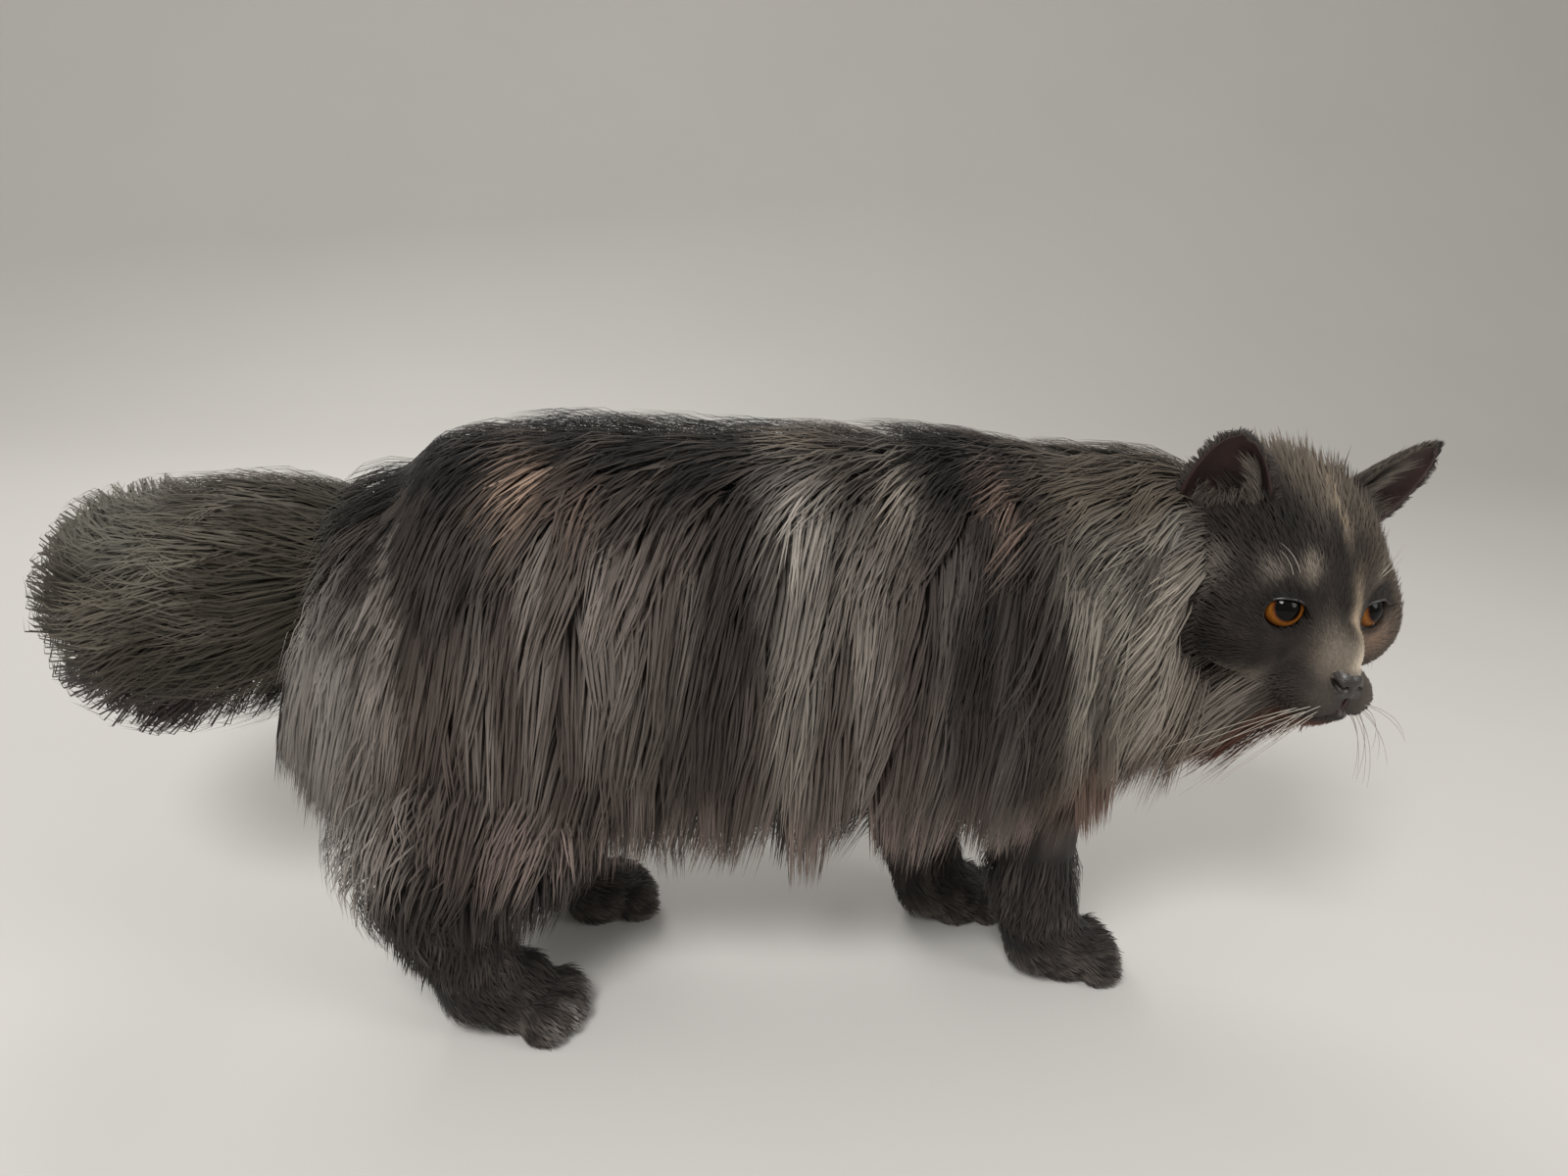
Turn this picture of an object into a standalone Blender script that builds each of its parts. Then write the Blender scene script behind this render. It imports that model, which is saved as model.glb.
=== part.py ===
# A long-haired Persian cat, life size, standing with its head turned to its right.
# Metres, +Z up, +X towards the cat's chest, +Y to the cat's left.
# The cat is first modelled whole, with the mid point between its hind paws as origin,
# then parted with thin cuts, and last moved so that the origin lies under its middle.

from functools import partial
from math import cos, pi, radians, sin, tau

import bmesh
import bpy
import numpy as np
from mathutils import Matrix, Vector

MM = 0.001
GAP = 0.3 * MM
SEED = 11

# Driving sizes in millimetres. A station is a middle (x, y, z), a half width and a half height.
# The body without its coat, from the rump to the chest, and the coat's outer bounds at the same places.
TORSO = [
    (-92, 0, 208, 16, 18),
    (-82, 0, 206, 34, 38),
    (-55, 0, 203, 48, 56),
    (0, 0, 199, 54, 64),
    (65, 0, 197, 57, 66),
    (130, 0, 196, 58, 67),
    (190, -1, 197, 57, 66),
    (235, -4, 201, 51, 61),
    (262, -8, 206, 42, 52),
]
TORSO_COAT = [
    (-97, 0, 192, 42, 46),
    (-86, 0, 186, 60, 72),
    (-56, 0, 179, 77, 95),
    (0, 0, 177, 84, 110),
    (65, 0, 176, 86, 112),
    (130, 0, 175, 87, 113),
    (190, -1, 175, 87, 111),
    (238, -6, 180, 82, 102),
    (272, -12, 188, 70, 86),
]

# The neck leaves the chest and bends to the cat's right. Its coat is the ruff.
NECK = [
    (238, -5, 204, 48, 58),
    (264, -8, 208, 43, 51),
    (290, -11, 212, 39, 46),
    (314, -15, 215, 36, 41),
    (334, -22, 217, 30, 34),
]
NECK_COAT = [
    (238, -8, 183, 82, 100),
    (264, -9, 190, 74, 91),
    (290, -10, 195, 59, 85),
    (314, -13, 199, 56, 78),
    (336, -18, 202, 46, 66),
]

# The tail's bone line, from the rump back and away to the cat's left, and its plume.
TAIL = [
    (-80, 3, 222, 11, 11),
    (-108, 8, 216, 10, 10),
    (-144, 22, 196, 9, 9),
    (-176, 46, 180, 8, 8),
    (-196, 78, 174, 7, 7),
    (-204, 108, 180, 5, 5),
]
TAIL_COAT = [
    (-80, 3, 212, 36, 36),
    (-108, 8, 205, 46, 50),
    (-144, 22, 188, 55, 60),
    (-176, 46, 176, 58, 63),
    (-196, 76, 174, 52, 57),
    (-206, 106, 180, 34, 38),
]

# The head: its middle, and how far it is turned to the cat's right, bowed and tilted, in degrees.
HEAD_MIDDLE = (343, -48, 218)
HEAD_TURN = -84
HEAD_BOW = 9
HEAD_TILT = -2.5
EYE = (22.5, 21.5, 4)
EYE_RADIUS = 11
EYE_SPREAD = 18
EAR_ROOT = (-15, 37, 33)
EAR_TIP = (1, 52.5, 75)
EAR_WIDTH = 22


def mm(*sizes):
    """A point or a vector given in millimetres."""
    return Vector(sizes) * MM


def clear_scene():
    for obj in list(bpy.data.objects):
        bpy.data.objects.remove(obj, do_unlink=True)


def new_object(name, verts, faces):
    mesh = bpy.data.meshes.new(name)
    mesh.from_pydata([tuple(v) for v in verts], [], faces)
    mesh.update()
    obj = bpy.data.objects.new(name, mesh)
    bpy.context.scene.collection.objects.link(obj)
    return obj


# Smooth tubes: the torso, the neck, the tail and the legs are lofts of ellipses along a line.


def between(stations, t):
    """The station at t, on a Catmull-Rom curve through all of them, and straight on past its ends."""
    last = len(stations) - 1
    if t < 0 or t > last:
        end, inner, past = (0, 1, -t) if t < 0 else (last, last - 1, t - last)
        first, second = np.array(stations[end], float), np.array(stations[inner], float)
        return first + (first - second) * past
    i = min(int(t), last - 1)
    f = t - i
    p = [np.array(stations[min(max(k, 0), last)], float) for k in range(i - 1, i + 3)]
    return 0.5 * (
        2 * p[1]
        + (p[2] - p[0]) * f
        + (2 * p[0] - 5 * p[1] + 4 * p[2] - p[3]) * f * f
        + (3 * p[1] - p[0] - 3 * p[2] + p[3]) * f**3
    )


def ring_frame(stations, t, upright=Vector((0, 0, 1))):
    """Middle, forward, sideways and upward directions, half width and half height of a tube at t."""
    here = between(stations, t)
    step = 0.05
    ahead, behind = between(stations, t + step), between(stations, t - step)
    forward = Vector(ahead[:3] - behind[:3]).normalized()
    side = forward.cross(upright).normalized()
    up = side.cross(forward).normalized()
    return Vector(here[:3]) * MM, forward, side, up, here[3] * MM, here[4] * MM


def on_tube(stations, t, angle, grow, upright=Vector((0, 0, 1))):
    """Point, outward direction and forward direction on a tube. Angle 0 is its top, a quarter turn its side."""
    middle, forward, side, up, width, height = ring_frame(stations, t, upright)
    width, height = width + grow, height + grow
    point = middle + side * width * sin(angle) + up * height * cos(angle)
    out = (side * (sin(angle) / width) + up * (cos(angle) / height)).normalized()
    return point, out, forward


def tube(name, stations, sides, rings, grow=0.0, upright=Vector((0, 0, 1))):
    """A closed loft along the stations, with a domed cap at each end."""
    last = len(stations) - 1
    verts, faces = [], []
    for k in range(rings):
        t = last * k / (rings - 1)
        verts += [on_tube(stations, t, tau * j / sides, grow, upright)[0] for j in range(sides)]
    for k in range(rings - 1):
        for j in range(sides):
            a, b = k * sides + j, k * sides + (j + 1) % sides
            faces.append((a, b, b + sides, a + sides))
    for t, first, turn in ((0, 0, -1), (last, (rings - 1) * sides, 1)):
        middle, forward, _, _, width, _ = ring_frame(stations, t, upright)
        verts.append(middle + forward * turn * (width + grow) * 0.45)
        pole = len(verts) - 1
        for j in range(sides):
            a, b = first + j, first + (j + 1) % sides
            faces.append((b, a, pole) if turn < 0 else (a, b, pole))
    return outward(new_object(name, verts, faces))


def outward(obj):
    """Turns the faces of a closed mesh outwards."""
    work = bmesh.new()
    work.from_mesh(obj.data)
    bmesh.ops.recalc_face_normals(work, faces=work.faces)
    if work.calc_volume(signed=True) < 0:
        bmesh.ops.reverse_faces(work, faces=work.faces)
    work.to_mesh(obj.data)
    work.free()
    return obj


def ellipsoid(name, middle, radii, turn=Matrix.Identity(3), around=14, rings=9):
    """A closed ellipsoid whose poles lie on its first axis."""
    verts = [(1.0, 0.0, 0.0)]
    for k in range(1, rings):
        polar = pi * k / rings
        for j in range(around):
            a = tau * (j + 0.5 * (k % 2)) / around
            verts.append((cos(polar), sin(polar) * cos(a), sin(polar) * sin(a)))
    verts.append((-1.0, 0.0, 0.0))
    last = len(verts) - 1
    faces = []
    for j in range(around):
        n = (j + 1) % around
        faces += [(0, 1 + j, 1 + n), (last, last - around + n, last - around + j)]
        for k in range(1, rings - 1):
            near, far = 1 + (k - 1) * around, 1 + k * around
            if k % 2:
                faces += [(near + j, far + j, near + n), (near + n, far + j, far + n)]
            else:
                faces += [(near + j, far + j, far + n), (near + j, far + n, near + n)]
    placed = [middle + turn @ Vector((x * radii.x, y * radii.y, z * radii.z)) for x, y, z in verts]
    return outward(new_object(name, placed, faces))


# The head, in its own frame: X forward, Y to its left, Z up.

HEAD_AT = mm(*HEAD_MIDDLE)
HEAD_TURNED = (
    Matrix.Rotation(radians(HEAD_TURN), 3, "Z")
    @ Matrix.Rotation(radians(HEAD_BOW), 3, "Y")
    @ Matrix.Rotation(radians(HEAD_TILT), 3, "X")
)

# Each form of the face: middle and radii. Those with a side offset stand on both sides.
SKULL_FORMS = [
    ((-10, 0, 11), (45, 46, 43)),
    ((6, 32, -10), (28, 28, 28)),
    ((11, 25, 5), (18, 22, 20)),
    ((12, 13, 26), (19, 16, 15)),
    ((26, 0, 6), (15, 12, 17)),
    ((40, 0, -8), (14, 10, 12)),
    ((43, 9.5, -28), (14, 13, 10)),
    ((37, 0, -38), (12, 12, 9.5)),
    ((10, 0, -32), (30, 30, 21)),
]
NOSE_FORMS = [((53.5, 0, -16), (6, 6.5, 5)), ((54.5, 3.8, -19.5), (4.4, 3.8, 3.6)), ((54, 0, -22), (4.5, 3, 3.5))]
SKULL_BLEND = 4.5
NOSE_BLEND = 1.2
FACE_POLE_DROP = 20


def form_distance(points, middle, radii):
    """Nearly the distance from each point to an ellipsoid, negative inside."""
    q = (points - np.array(middle)) / np.array(radii)
    near = np.linalg.norm(q, axis=1)
    slope = np.linalg.norm(q / np.array(radii), axis=1)
    return near * (near - 1) / np.maximum(slope, 1e-6)


def both_sides(forms):
    for middle, radii in forms:
        yield middle, radii
        if middle[1]:
            yield (middle[0], -middle[1], middle[2]), radii


def blended(points, forms, blend):
    total = sum(np.exp(-form_distance(points, m, r) / blend) for m, r in both_sides(forms))
    return -blend * np.log(np.maximum(total, 1e-30))


def face_distance(points):
    skull = blended(points, SKULL_FORMS, SKULL_BLEND)
    nose = blended(points, NOSE_FORMS, NOSE_BLEND)
    joined = np.exp(-skull / NOSE_BLEND) + np.exp(-nose / NOSE_BLEND)
    return -NOSE_BLEND * np.log(np.maximum(joined, 1e-30))


def head_shell(name, around, rings):
    """The head as one smooth closed skin: each ray from its middle ends on the blended forms."""
    drop = radians(FACE_POLE_DROP)
    pole = np.array((cos(drop), 0, -sin(drop)))
    down = np.array((sin(drop), 0, cos(drop)))
    left = np.array((0, 1.0, 0))
    rays = [pole]
    for k in range(1, rings):
        # Rings stand closer near the muzzle, where the forms are small.
        polar = pi * (k / rings) ** 1.35
        for j in range(around):
            turn = tau * j / around
            rays.append(pole * cos(polar) + (left * cos(turn) + down * sin(turn)) * sin(polar))
    rays.append(-pole)
    rays = np.array(rays)
    low, high = np.zeros(len(rays)), np.full(len(rays), 90.0)
    for _ in range(24):
        middle = (low + high) / 2
        inside = face_distance(rays * middle[:, None]) < 0
        low, high = np.where(inside, middle, low), np.where(inside, high, middle)
    verts = [HEAD_AT + HEAD_TURNED @ (Vector(p) * MM) for p in rays * low[:, None]]
    faces = [(0, 1 + (j + 1) % around, 1 + j) for j in range(around)]
    for k in range(rings - 2):
        first = 1 + k * around
        for j in range(around):
            a, b = first + j, first + (j + 1) % around
            faces.append((a, b, b + around, a + around))
    first, last = 1 + (rings - 2) * around, len(verts) - 1
    faces += [(last, first + j, first + (j + 1) % around) for j in range(around)]
    return outward(new_object(name, verts, faces))


def head_point(forward, left, up):
    return HEAD_AT + HEAD_TURNED @ mm(forward, left, up)


def eye_frame(side):
    """Middle of the eyeball and the rotation whose X looks out of it."""
    middle = head_point(EYE[0], side * EYE[1], EYE[2])
    return middle, HEAD_TURNED @ Matrix.Rotation(radians(side * EYE_SPREAD), 3, "Z")


def almond_cutter(name, side):
    """The opening between the lids: a round eye with its inner corner drawn to a point."""
    middle, turn = eye_frame(side)
    half_width, half_height, points = 10.2, 8.6, 16
    verts = []
    for reach in (2, 22):
        for j in range(points):
            a = tau * j / points
            across, rise = half_width * cos(a), half_height * sin(a)
            # Y of the eye's frame points to the head's left, so the inner corner is at -side.
            inner = max(0.0, -side * cos(a)) ** 6
            across += -side * 2.6 * inner
            rise -= 2.0 * inner
            spread = 1 + 0.012 * (reach - EYE_RADIUS)
            verts.append(middle + turn @ mm(reach, across * spread, rise * spread))
    faces = [tuple(range(points))[::-1], tuple(range(points, 2 * points))]
    for j in range(points):
        k = (j + 1) % points
        faces.append((j, k, k + points, j + points))
    return outward(new_object(name, verts, faces))


def ear_frame(side):
    """Root of an ear and its directions: up along it, out of its mouth, and across it."""
    root = head_point(EAR_ROOT[0], side * EAR_ROOT[1], EAR_ROOT[2])
    tip = head_point(EAR_TIP[0], side * EAR_TIP[1], EAR_TIP[2])
    along = (tip - root).normalized()
    across = along.cross(HEAD_TURNED @ Vector((0.75, side * 0.55, -0.3))).normalized()
    return root, along, across.cross(along), across, (tip - root).length


def ear(name, side):
    """The cup of an ear: a curled leaf, open to the front and outwards, with a rounded tip."""
    root, along, mouth, across, height = ear_frame(side)
    arc, levels = 7, 6
    open_angle = radians(88)
    sunk = 9 * MM
    verts, faces = [], []
    for k in range(levels):
        t = k / (levels - 1)
        width = EAR_WIDTH * MM * (1 - t**1.9) ** 0.62 + 1.2 * MM
        depth = 0.62 * width
        wall = min(MM * (3.4 - 1.8 * t), 0.5 * depth)
        middle = root + along * ((height + sunk) * t - sunk) + mouth * (6 * t * (1 - t)) * MM
        cup = min(1.0, 0.15 + 2.2 * t)
        for shell in (0, 1):
            for j in range(arc + 1):
                a = (1 - 1.93 * shell) * (2 * j / arc - 1) * open_angle
                w = width - shell * wall
                d = (depth - shell * wall) * (cup if shell else 1.0)
                verts.append(middle + across * sin(a) * w - mouth * cos(a) * d)
    count = 2 * (arc + 1)
    for k in range(levels - 1):
        for j in range(count):
            a, b = k * count + j, k * count + (j + 1) % count
            faces.append((a, b, b + count, a + count))
    for first in (0, (levels - 1) * count):
        for j in range(arc):
            a, b = first + j, first + j + 1
            c, d = first + count - 1 - j, first + count - 2 - j
            faces.append((a, b, d, c))
    return outward(new_object(name, verts, faces))


def groove(name, points, radius, sides=6):
    """A thin round cutter along points of the head's frame."""
    stations = [(*p, radius, radius) for p in points]
    obj = tube(name, stations, sides, 2 * len(points) - 1, 0.0, Vector((1, 0, 0)))
    for v in obj.data.vertices:
        v.co = HEAD_AT + HEAD_TURNED @ v.co
    return obj


def onto_face(forward, left, up, sink):
    """The point of the face straight behind a point in front of it, sunk by a little."""
    low, high = 0.0, 90.0
    for _ in range(24):
        middle = (low + high) / 2
        inside = face_distance(np.array([[middle, left, up]]))[0] < 0
        low, high = (middle, high) if inside else (low, middle)
    return (low - sink, left, up)


def mouth_cutters():
    """The line under the nose, the two curves of the mouth, and the nostrils."""
    found = [groove("cut_philtrum", [onto_face(60, 0, u, 0.3) for u in (-25, -28, -31)], 0.9)]
    for side in (-1, 1):
        line = [(0, -31), (5, -34.5), (10, -36), (16, -35), (21, -32.5)]
        found.append(groove("cut_lips", [onto_face(60, side * y, z, 0.2) for y, z in line], 1.0))
        nostril = head_point(59, side * 3.6, -19.6)
        turn = HEAD_TURNED @ Matrix.Rotation(radians(side * 35), 3, "Z")
        found.append(ellipsoid("cut_nostril", nostril, mm(4.5, 1.1, 1.3), turn, 6, 4))
    return found


# The legs. Each is a tube from inside the body down to the wrist or hock, and a paw with four toes.

LEFT_RIGHT = ("right", "left")
FORELEGS = {"right": (244, -31, 266, -28), "left": (200, 31, 222, 28)}
HINDLEGS = {"right": (-34, -46, -12, -44), "left": (6, 46, 28, 44)}
FORE_TOES_TURN = {"right": -8, "left": 8}
HIND_TOES_TURN = {"right": -24, "left": 16}
LEG_COAT = 7
UPRIGHT_FOR_LEGS = Vector((0, 1, 0))


def paw(name, at, length, width, height, turn):
    """The pad and four toes of one paw, pressed a little into the floor, which a cut makes flat."""
    facing = Matrix.Rotation(radians(turn), 3, "Z")
    middle = mm(at[0], at[1], height * 0.72)
    pad = middle - facing @ mm(length * 0.16, 0, 0)
    found = [ellipsoid(name, pad, mm(length * 0.62, width, height), facing, 10, 6)]
    for k in range(4):
        across = (k - 1.5) / 1.5
        reach = length * (0.62 - 0.16 * across * across)
        toe = mm(at[0], at[1], height * 0.52) + facing @ mm(reach, across * width * 0.66, 0)
        splay = facing @ Matrix.Rotation(radians(16 * across), 3, "Z")
        size = mm(length * 0.42, width * 0.33, height * 0.66)
        found.append(ellipsoid(f"{name}_toe{k}", toe, size, splay, 8, 4))
    return found


def foreleg(side):
    x, y, foot_x, foot_y = FORELEGS[side]
    line = [
        (x - 12, y * 0.9, 168, 30, 24),
        (x - 10, y, 130, 27, 22),
        (x - 4, y, 96, 21, 19),
        (x, y, 60, 17, 16),
        (foot_x - 14, foot_y, 30, 16, 16),
        (foot_x - 8, foot_y, 14, 17, 17),
    ]
    found = [tube(f"foreleg_{side}", line, 11, 7, LEG_COAT * MM, UPRIGHT_FOR_LEGS)]
    return found + paw(f"forepaw_{side}", (foot_x + 4, foot_y), 28, 23, 20, FORE_TOES_TURN[side])


def hindleg(side):
    x, y, foot_x, foot_y = HINDLEGS[side]
    line = [
        (x + 24, y * 0.72, 160, 42, 24),
        (x + 20, y * 0.85, 124, 38, 24),
        (x + 4, y, 92, 27, 20),
        (x - 4, y, 66, 19, 16),
        (x - 1, y, 42, 16, 16),
        (foot_x - 14, foot_y, 16, 18, 17),
    ]
    found = [tube(f"hindleg_{side}", line, 11, 8, LEG_COAT * MM, UPRIGHT_FOR_LEGS)]
    return found + paw(f"hindpaw_{side}", (foot_x + 2, foot_y), 30, 23, 20, HIND_TOES_TURN[side])


# The coat: flat, tapered locks that lie over one another, rooted in a core under their outer half.
# A place in the coat is a tube's t and angle, and a depth: 0 at the skin and 1 at the coat's outer bounds.

CORE_DEPTH = 0.45
ROOT_DEPTH = 0.15


def mixed(skin, coat, depth):
    """The stations of the surface that lies at a depth of the coat."""
    return [tuple(a + (b - a) * depth for a, b in zip(s, c)) for s, c in zip(skin, coat)]


def in_coat(body, t, angle, depth):
    """The point and its outward direction at a place in a coat, where body is a pair: skin and coat."""
    skin, out, _ = on_tube(body[0], t, angle, 0)
    outer, _, _ = on_tube(body[1], t, angle, 0)
    return skin.lerp(outer, depth), out


def lock(path, outs, width, thickness):
    """A lock along a path of four points: flat below, ridged above, tapering to a tip."""
    verts = []
    for k, share in enumerate((0.4, 0.95, 0.8)):
        forward = (path[k + 1] - path[max(k - 1, 0)]).normalized()
        side = forward.cross(outs[k]).normalized()
        up = side.cross(forward)
        verts.append(path[k] - side * width / 2 * share - up * thickness / 3 * share)
        verts.append(path[k] + up * thickness * 2 / 3 * share)
        verts.append(path[k] + side * width / 2 * share - up * thickness / 3 * share)
    verts.append(path[3])
    faces = [(0, 1, 2)]
    for k in (0, 3):
        for j in range(3):
            n = (j + 1) % 3
            faces += [(k + j, k + n, k + 3 + n), (k + j, k + 3 + n, k + 3 + j)]
    faces += [(6 + j, 6 + (j + 1) % 3, 9) for j in range(3)]
    return outward(new_object("lock", verts, faces))


def coat_lock(body, t, angle, along, around, width, thickness, reach):
    """A lock of a coat, from its root at a place, by lengths along and around the tube."""
    _, _, _, _, half_width, half_height = ring_frame(body[1], t)
    step = (ring_frame(body[1], t + 0.05)[0] - ring_frame(body[1], t - 0.05)[0]).length / 0.1
    turn_radius = ((half_width * cos(angle)) ** 2 + (half_height * sin(angle)) ** 2) ** 0.5
    path, outs = [], []
    for share, depth in ((0, ROOT_DEPTH), (0.3, 0.64 * reach), (0.66, 0.86 * reach), (1, reach)):
        point, out = in_coat(body, t + along * share / step, angle + around * share / turn_radius, depth)
        path.append(point)
        outs.append(out)
    return lock(path, outs, width, thickness)


def free_lock(root, out, flow, length, sunk, lift, width, thickness):
    """A lock that starts a little under a surface, rises along out and then follows flow."""
    out, flow = out.normalized(), flow.normalized()
    path = [root - out * sunk]
    path.append(root + out * lift * 0.35 + flow * length * 0.28)
    path.append(root + out * lift * 0.75 + flow * length * 0.64)
    path.append(root + out * lift + flow * length)
    return lock(path, [out] * 3, width, thickness)


def t_at(stations, x):
    """The t at which a tube passes x."""
    xs = [s[0] for s in stations]
    return float(np.interp(x, xs, range(len(xs))))


def spread(count, shift):
    """Angles evenly spread round a tube, from -pi to pi."""
    return [((k + shift) / count * 2 - 1) * pi for k in range(count)]


TORSO_BODY = (TORSO, TORSO_COAT)
NECK_BODY = (NECK, NECK_COAT)
TAIL_BODY = (TAIL, TAIL_COAT)
LOCK_THICKNESS = 7 * MM


def torso_locks(chance):
    """Hair runs back along the spine, slants down the flanks, and hangs as a fringe along the belly."""
    found = []
    for row, x in enumerate((236, 183, 130, 77, 24, -28, -66)):
        count = 12 if x > 30 else 10
        for angle in spread(count, 0.25 + 0.5 * (row % 2)):
            side = abs(angle)
            slant = radians(np.interp(side, (0, 0.5, 1.5, 2.4, pi), (4, 30, 64, 70, 15))) + chance.normal(0, 0.09)
            length = np.interp(side, (0, 0.8, 1.8, 2.4, pi), (76, 86, 96, 88, 68)) * chance.uniform(0.86, 1.14)
            if x < -50:
                length *= 0.62
            width = np.interp(side, (0, 1.5, 2.4, pi), (40, 50, 50, 42)) * chance.uniform(0.85, 1.1) * MM
            down = 1 if angle > 0 else -1
            t = t_at(TORSO_COAT, x + chance.uniform(-7, 7))
            angle += chance.uniform(-0.06, 0.06)
            # Along the spine the hair lies close.
            reach = np.interp(side, (0.2, 1.2), (0.88, 1)) * chance.uniform(0.98, 1.08)
            if x < 30 and 1.75 < side < 2.7:
                # The thighs stand here, with their own long hair.
                continue
            along, around = -length * cos(slant) * MM, down * length * sin(slant) * MM
            found.append(coat_lock(TORSO_BODY, t, angle, along, around, width, LOCK_THICKNESS, reach))
    return found


def in_head(point):
    """Whether a point lies inside the skull's forms."""
    local = HEAD_TURNED.inverted() @ (point - HEAD_AT) / MM
    return face_distance(np.array([tuple(local)]))[0] < 0


def ruff_locks(chance):
    """The ruff flows back from the face and down the sides of the neck to the bib on the chest."""
    found = []
    for row, x in enumerate((328, 302, 275, 248)):
        for angle in spread(7, 0.25 + 0.5 * (row % 2)):
            side = abs(angle)
            slant = radians(np.interp(side, (0, 0.6, 1.5, 2.4, pi), (5, 35, 66, 60, 15))) + chance.normal(0, 0.12)
            length = np.interp(side, (0, 1.2, 2.4, pi), (56, 70, 70, 60)) * chance.uniform(0.85, 1.15)
            width = np.interp(side, (0, 1.5, pi), (42, 50, 46)) * chance.uniform(0.88, 1.1)
            down = 1 if angle > 0 else -1
            t = t_at(NECK_COAT, x + chance.uniform(-4, 4))
            angle += chance.uniform(-0.08, 0.08)
            reach = chance.uniform(1.0, 1.12)
            if in_head(in_coat(NECK_BODY, t, angle, 0.6)[0]):
                continue
            along, around = -length * cos(slant) * MM, down * length * sin(slant) * MM
            found.append(coat_lock(NECK_BODY, t, angle, along, around, width * MM, LOCK_THICKNESS, reach))
    return found


def tail_locks(chance):
    """The plume's hair streams from the bone to the tip, and ends in a loose brush."""
    found = []
    for row, t in enumerate((0.6, 1.5, 2.4, 3.3)):
        count = 6
        for angle in spread(count, 0.25 + 0.5 * (row % 2)):
            length = chance.uniform(66, 80) * (0.8 if t > 3 else 1)
            found.append(
                coat_lock(
                    TAIL_BODY,
                    t + chance.uniform(-0.1, 0.1),
                    angle + chance.uniform(-0.1, 0.1),
                    length * MM,
                    chance.uniform(-6, 6) * MM,
                    chance.uniform(36, 44) * MM,
                    LOCK_THICKNESS,
                    chance.uniform(0.98, 1.08),
                )
            )
    middle, forward, side, up, _, _ = ring_frame(TAIL_COAT, len(TAIL_COAT) - 1.6)
    for angle in spread(5, 0.2):
        out = side * sin(angle) + up * cos(angle)
        root = middle + out * 16 * MM
        flow = forward + out * chance.uniform(-0.12, 0.08)
        length = chance.uniform(46, 60) * MM
        found.append(free_lock(root, out, flow, length, 6 * MM, 5 * MM, 36 * MM, LOCK_THICKNESS))
    return found


def breech_locks(side, chance):
    """Long hair over the thigh and behind it, hanging to just above the hock."""
    x, y, _, _ = HINDLEGS[side]
    sign = -1 if side == "right" else 1
    found = []
    for height, behind, reach, turns in ((146, 58, 66, (-90, -35, 20)), (112, 48, 48, (-100, -45, 20))):
        for turn in turns:
            # A turn of 0 faces straight out to the side, and -90 straight back.
            a = radians(turn + chance.uniform(-8, 8))
            out = Vector((sin(a), sign * cos(a), 0))
            root = mm(x + 16 + behind * sin(a), y * 0.85 + sign * 20 * cos(a), height + chance.uniform(-5, 5))
            # Behind the thigh the hair hangs forward to the hock, and on its side it slants back.
            flow = Vector((np.interp(turn, (-90, -20), (0.3, -0.3)), 0.1 * sign, -1)) + out * 0.1
            length = reach * chance.uniform(0.9, 1.12) * MM
            lift = 24 if turn < -80 else 15
            found.append(free_lock(root, out, flow, length, 12 * MM, lift * MM, 38 * MM, LOCK_THICKNESS))
    return found


# The ruff's first locks, on the head itself: root, outward direction, flow and length, in the head's frame.
CHEEK_LOCKS = [
    ((4, 49, -2), (0.1, 1, 0.1), (-0.5, 0.55, -0.6), 46),
    ((10, 45, -24), (0.2, 0.9, -0.4), (-0.45, 0.5, -0.8), 46),
    ((8, 26, -40), (0.1, 0.3, -1), (-0.35, 0.25, -1), 42),
]
MIDDLE_LOCKS = [
    ((26, 0, -46), (0.3, 0, -1), (-0.3, 0, -1), 36),
    ((-36, 32, 34), (-0.7, 0.5, 0.5), (-0.45, -0.95, -0.1), 62),
    ((-40, 32, 10), (-0.8, 0.5, 0), (-0.45, -0.95, -0.35), 62),
    ((-34, 32, -14), (-0.8, 0.5, -0.2), (-0.45, -0.95, -0.7), 60),
]


def face_locks(chance):
    """Three locks at the hinge of each jaw, one under the chin, and three on the side of the nape."""
    found = []
    mirrored = [tuple((v[0], -v[1], v[2]) for v in row[:3]) + row[3:] for row in CHEEK_LOCKS]
    for root, out, flow, length in CHEEK_LOCKS + mirrored + MIDDLE_LOCKS:
        out, flow = HEAD_TURNED @ Vector(out), HEAD_TURNED @ Vector(flow)
        length *= chance.uniform(0.92, 1.08) * MM
        found.append(free_lock(head_point(*root), out, flow, length, 8 * MM, 9 * MM, 28 * MM, LOCK_THICKNESS))
    return found


# Joining and parting.


def take_shape(obj):
    """Applies the object's modifiers."""
    graph = bpy.context.evaluated_depsgraph_get()
    mesh = bpy.data.meshes.new_from_object(obj.evaluated_get(graph))
    obj.modifiers.clear()
    obj.data = mesh
    return obj


def fuse(first, others):
    """Joins closed pieces into the first one, and removes them."""
    group = bpy.data.collections.new("pieces")
    bpy.context.scene.collection.children.link(group)
    for piece in others:
        bpy.context.scene.collection.objects.unlink(piece)
        group.objects.link(piece)
    union = first.modifiers.new("join", "BOOLEAN")
    union.operation = "UNION"
    union.operand_type = "COLLECTION"
    union.collection = group
    union.solver = "MANIFOLD"
    take_shape(first)
    for piece in others:
        bpy.data.objects.remove(piece, do_unlink=True)
    bpy.data.collections.remove(group)
    return first


def cut(obj, cutter, operation):
    """Cuts the cutter away, or keeps only what lies in it."""
    knife = obj.modifiers.new("cut", "BOOLEAN")
    knife.operation = operation
    knife.object = cutter
    knife.solver = "MANIFOLD"
    take_shape(obj)


SLIVER = 0.001 * MM


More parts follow.
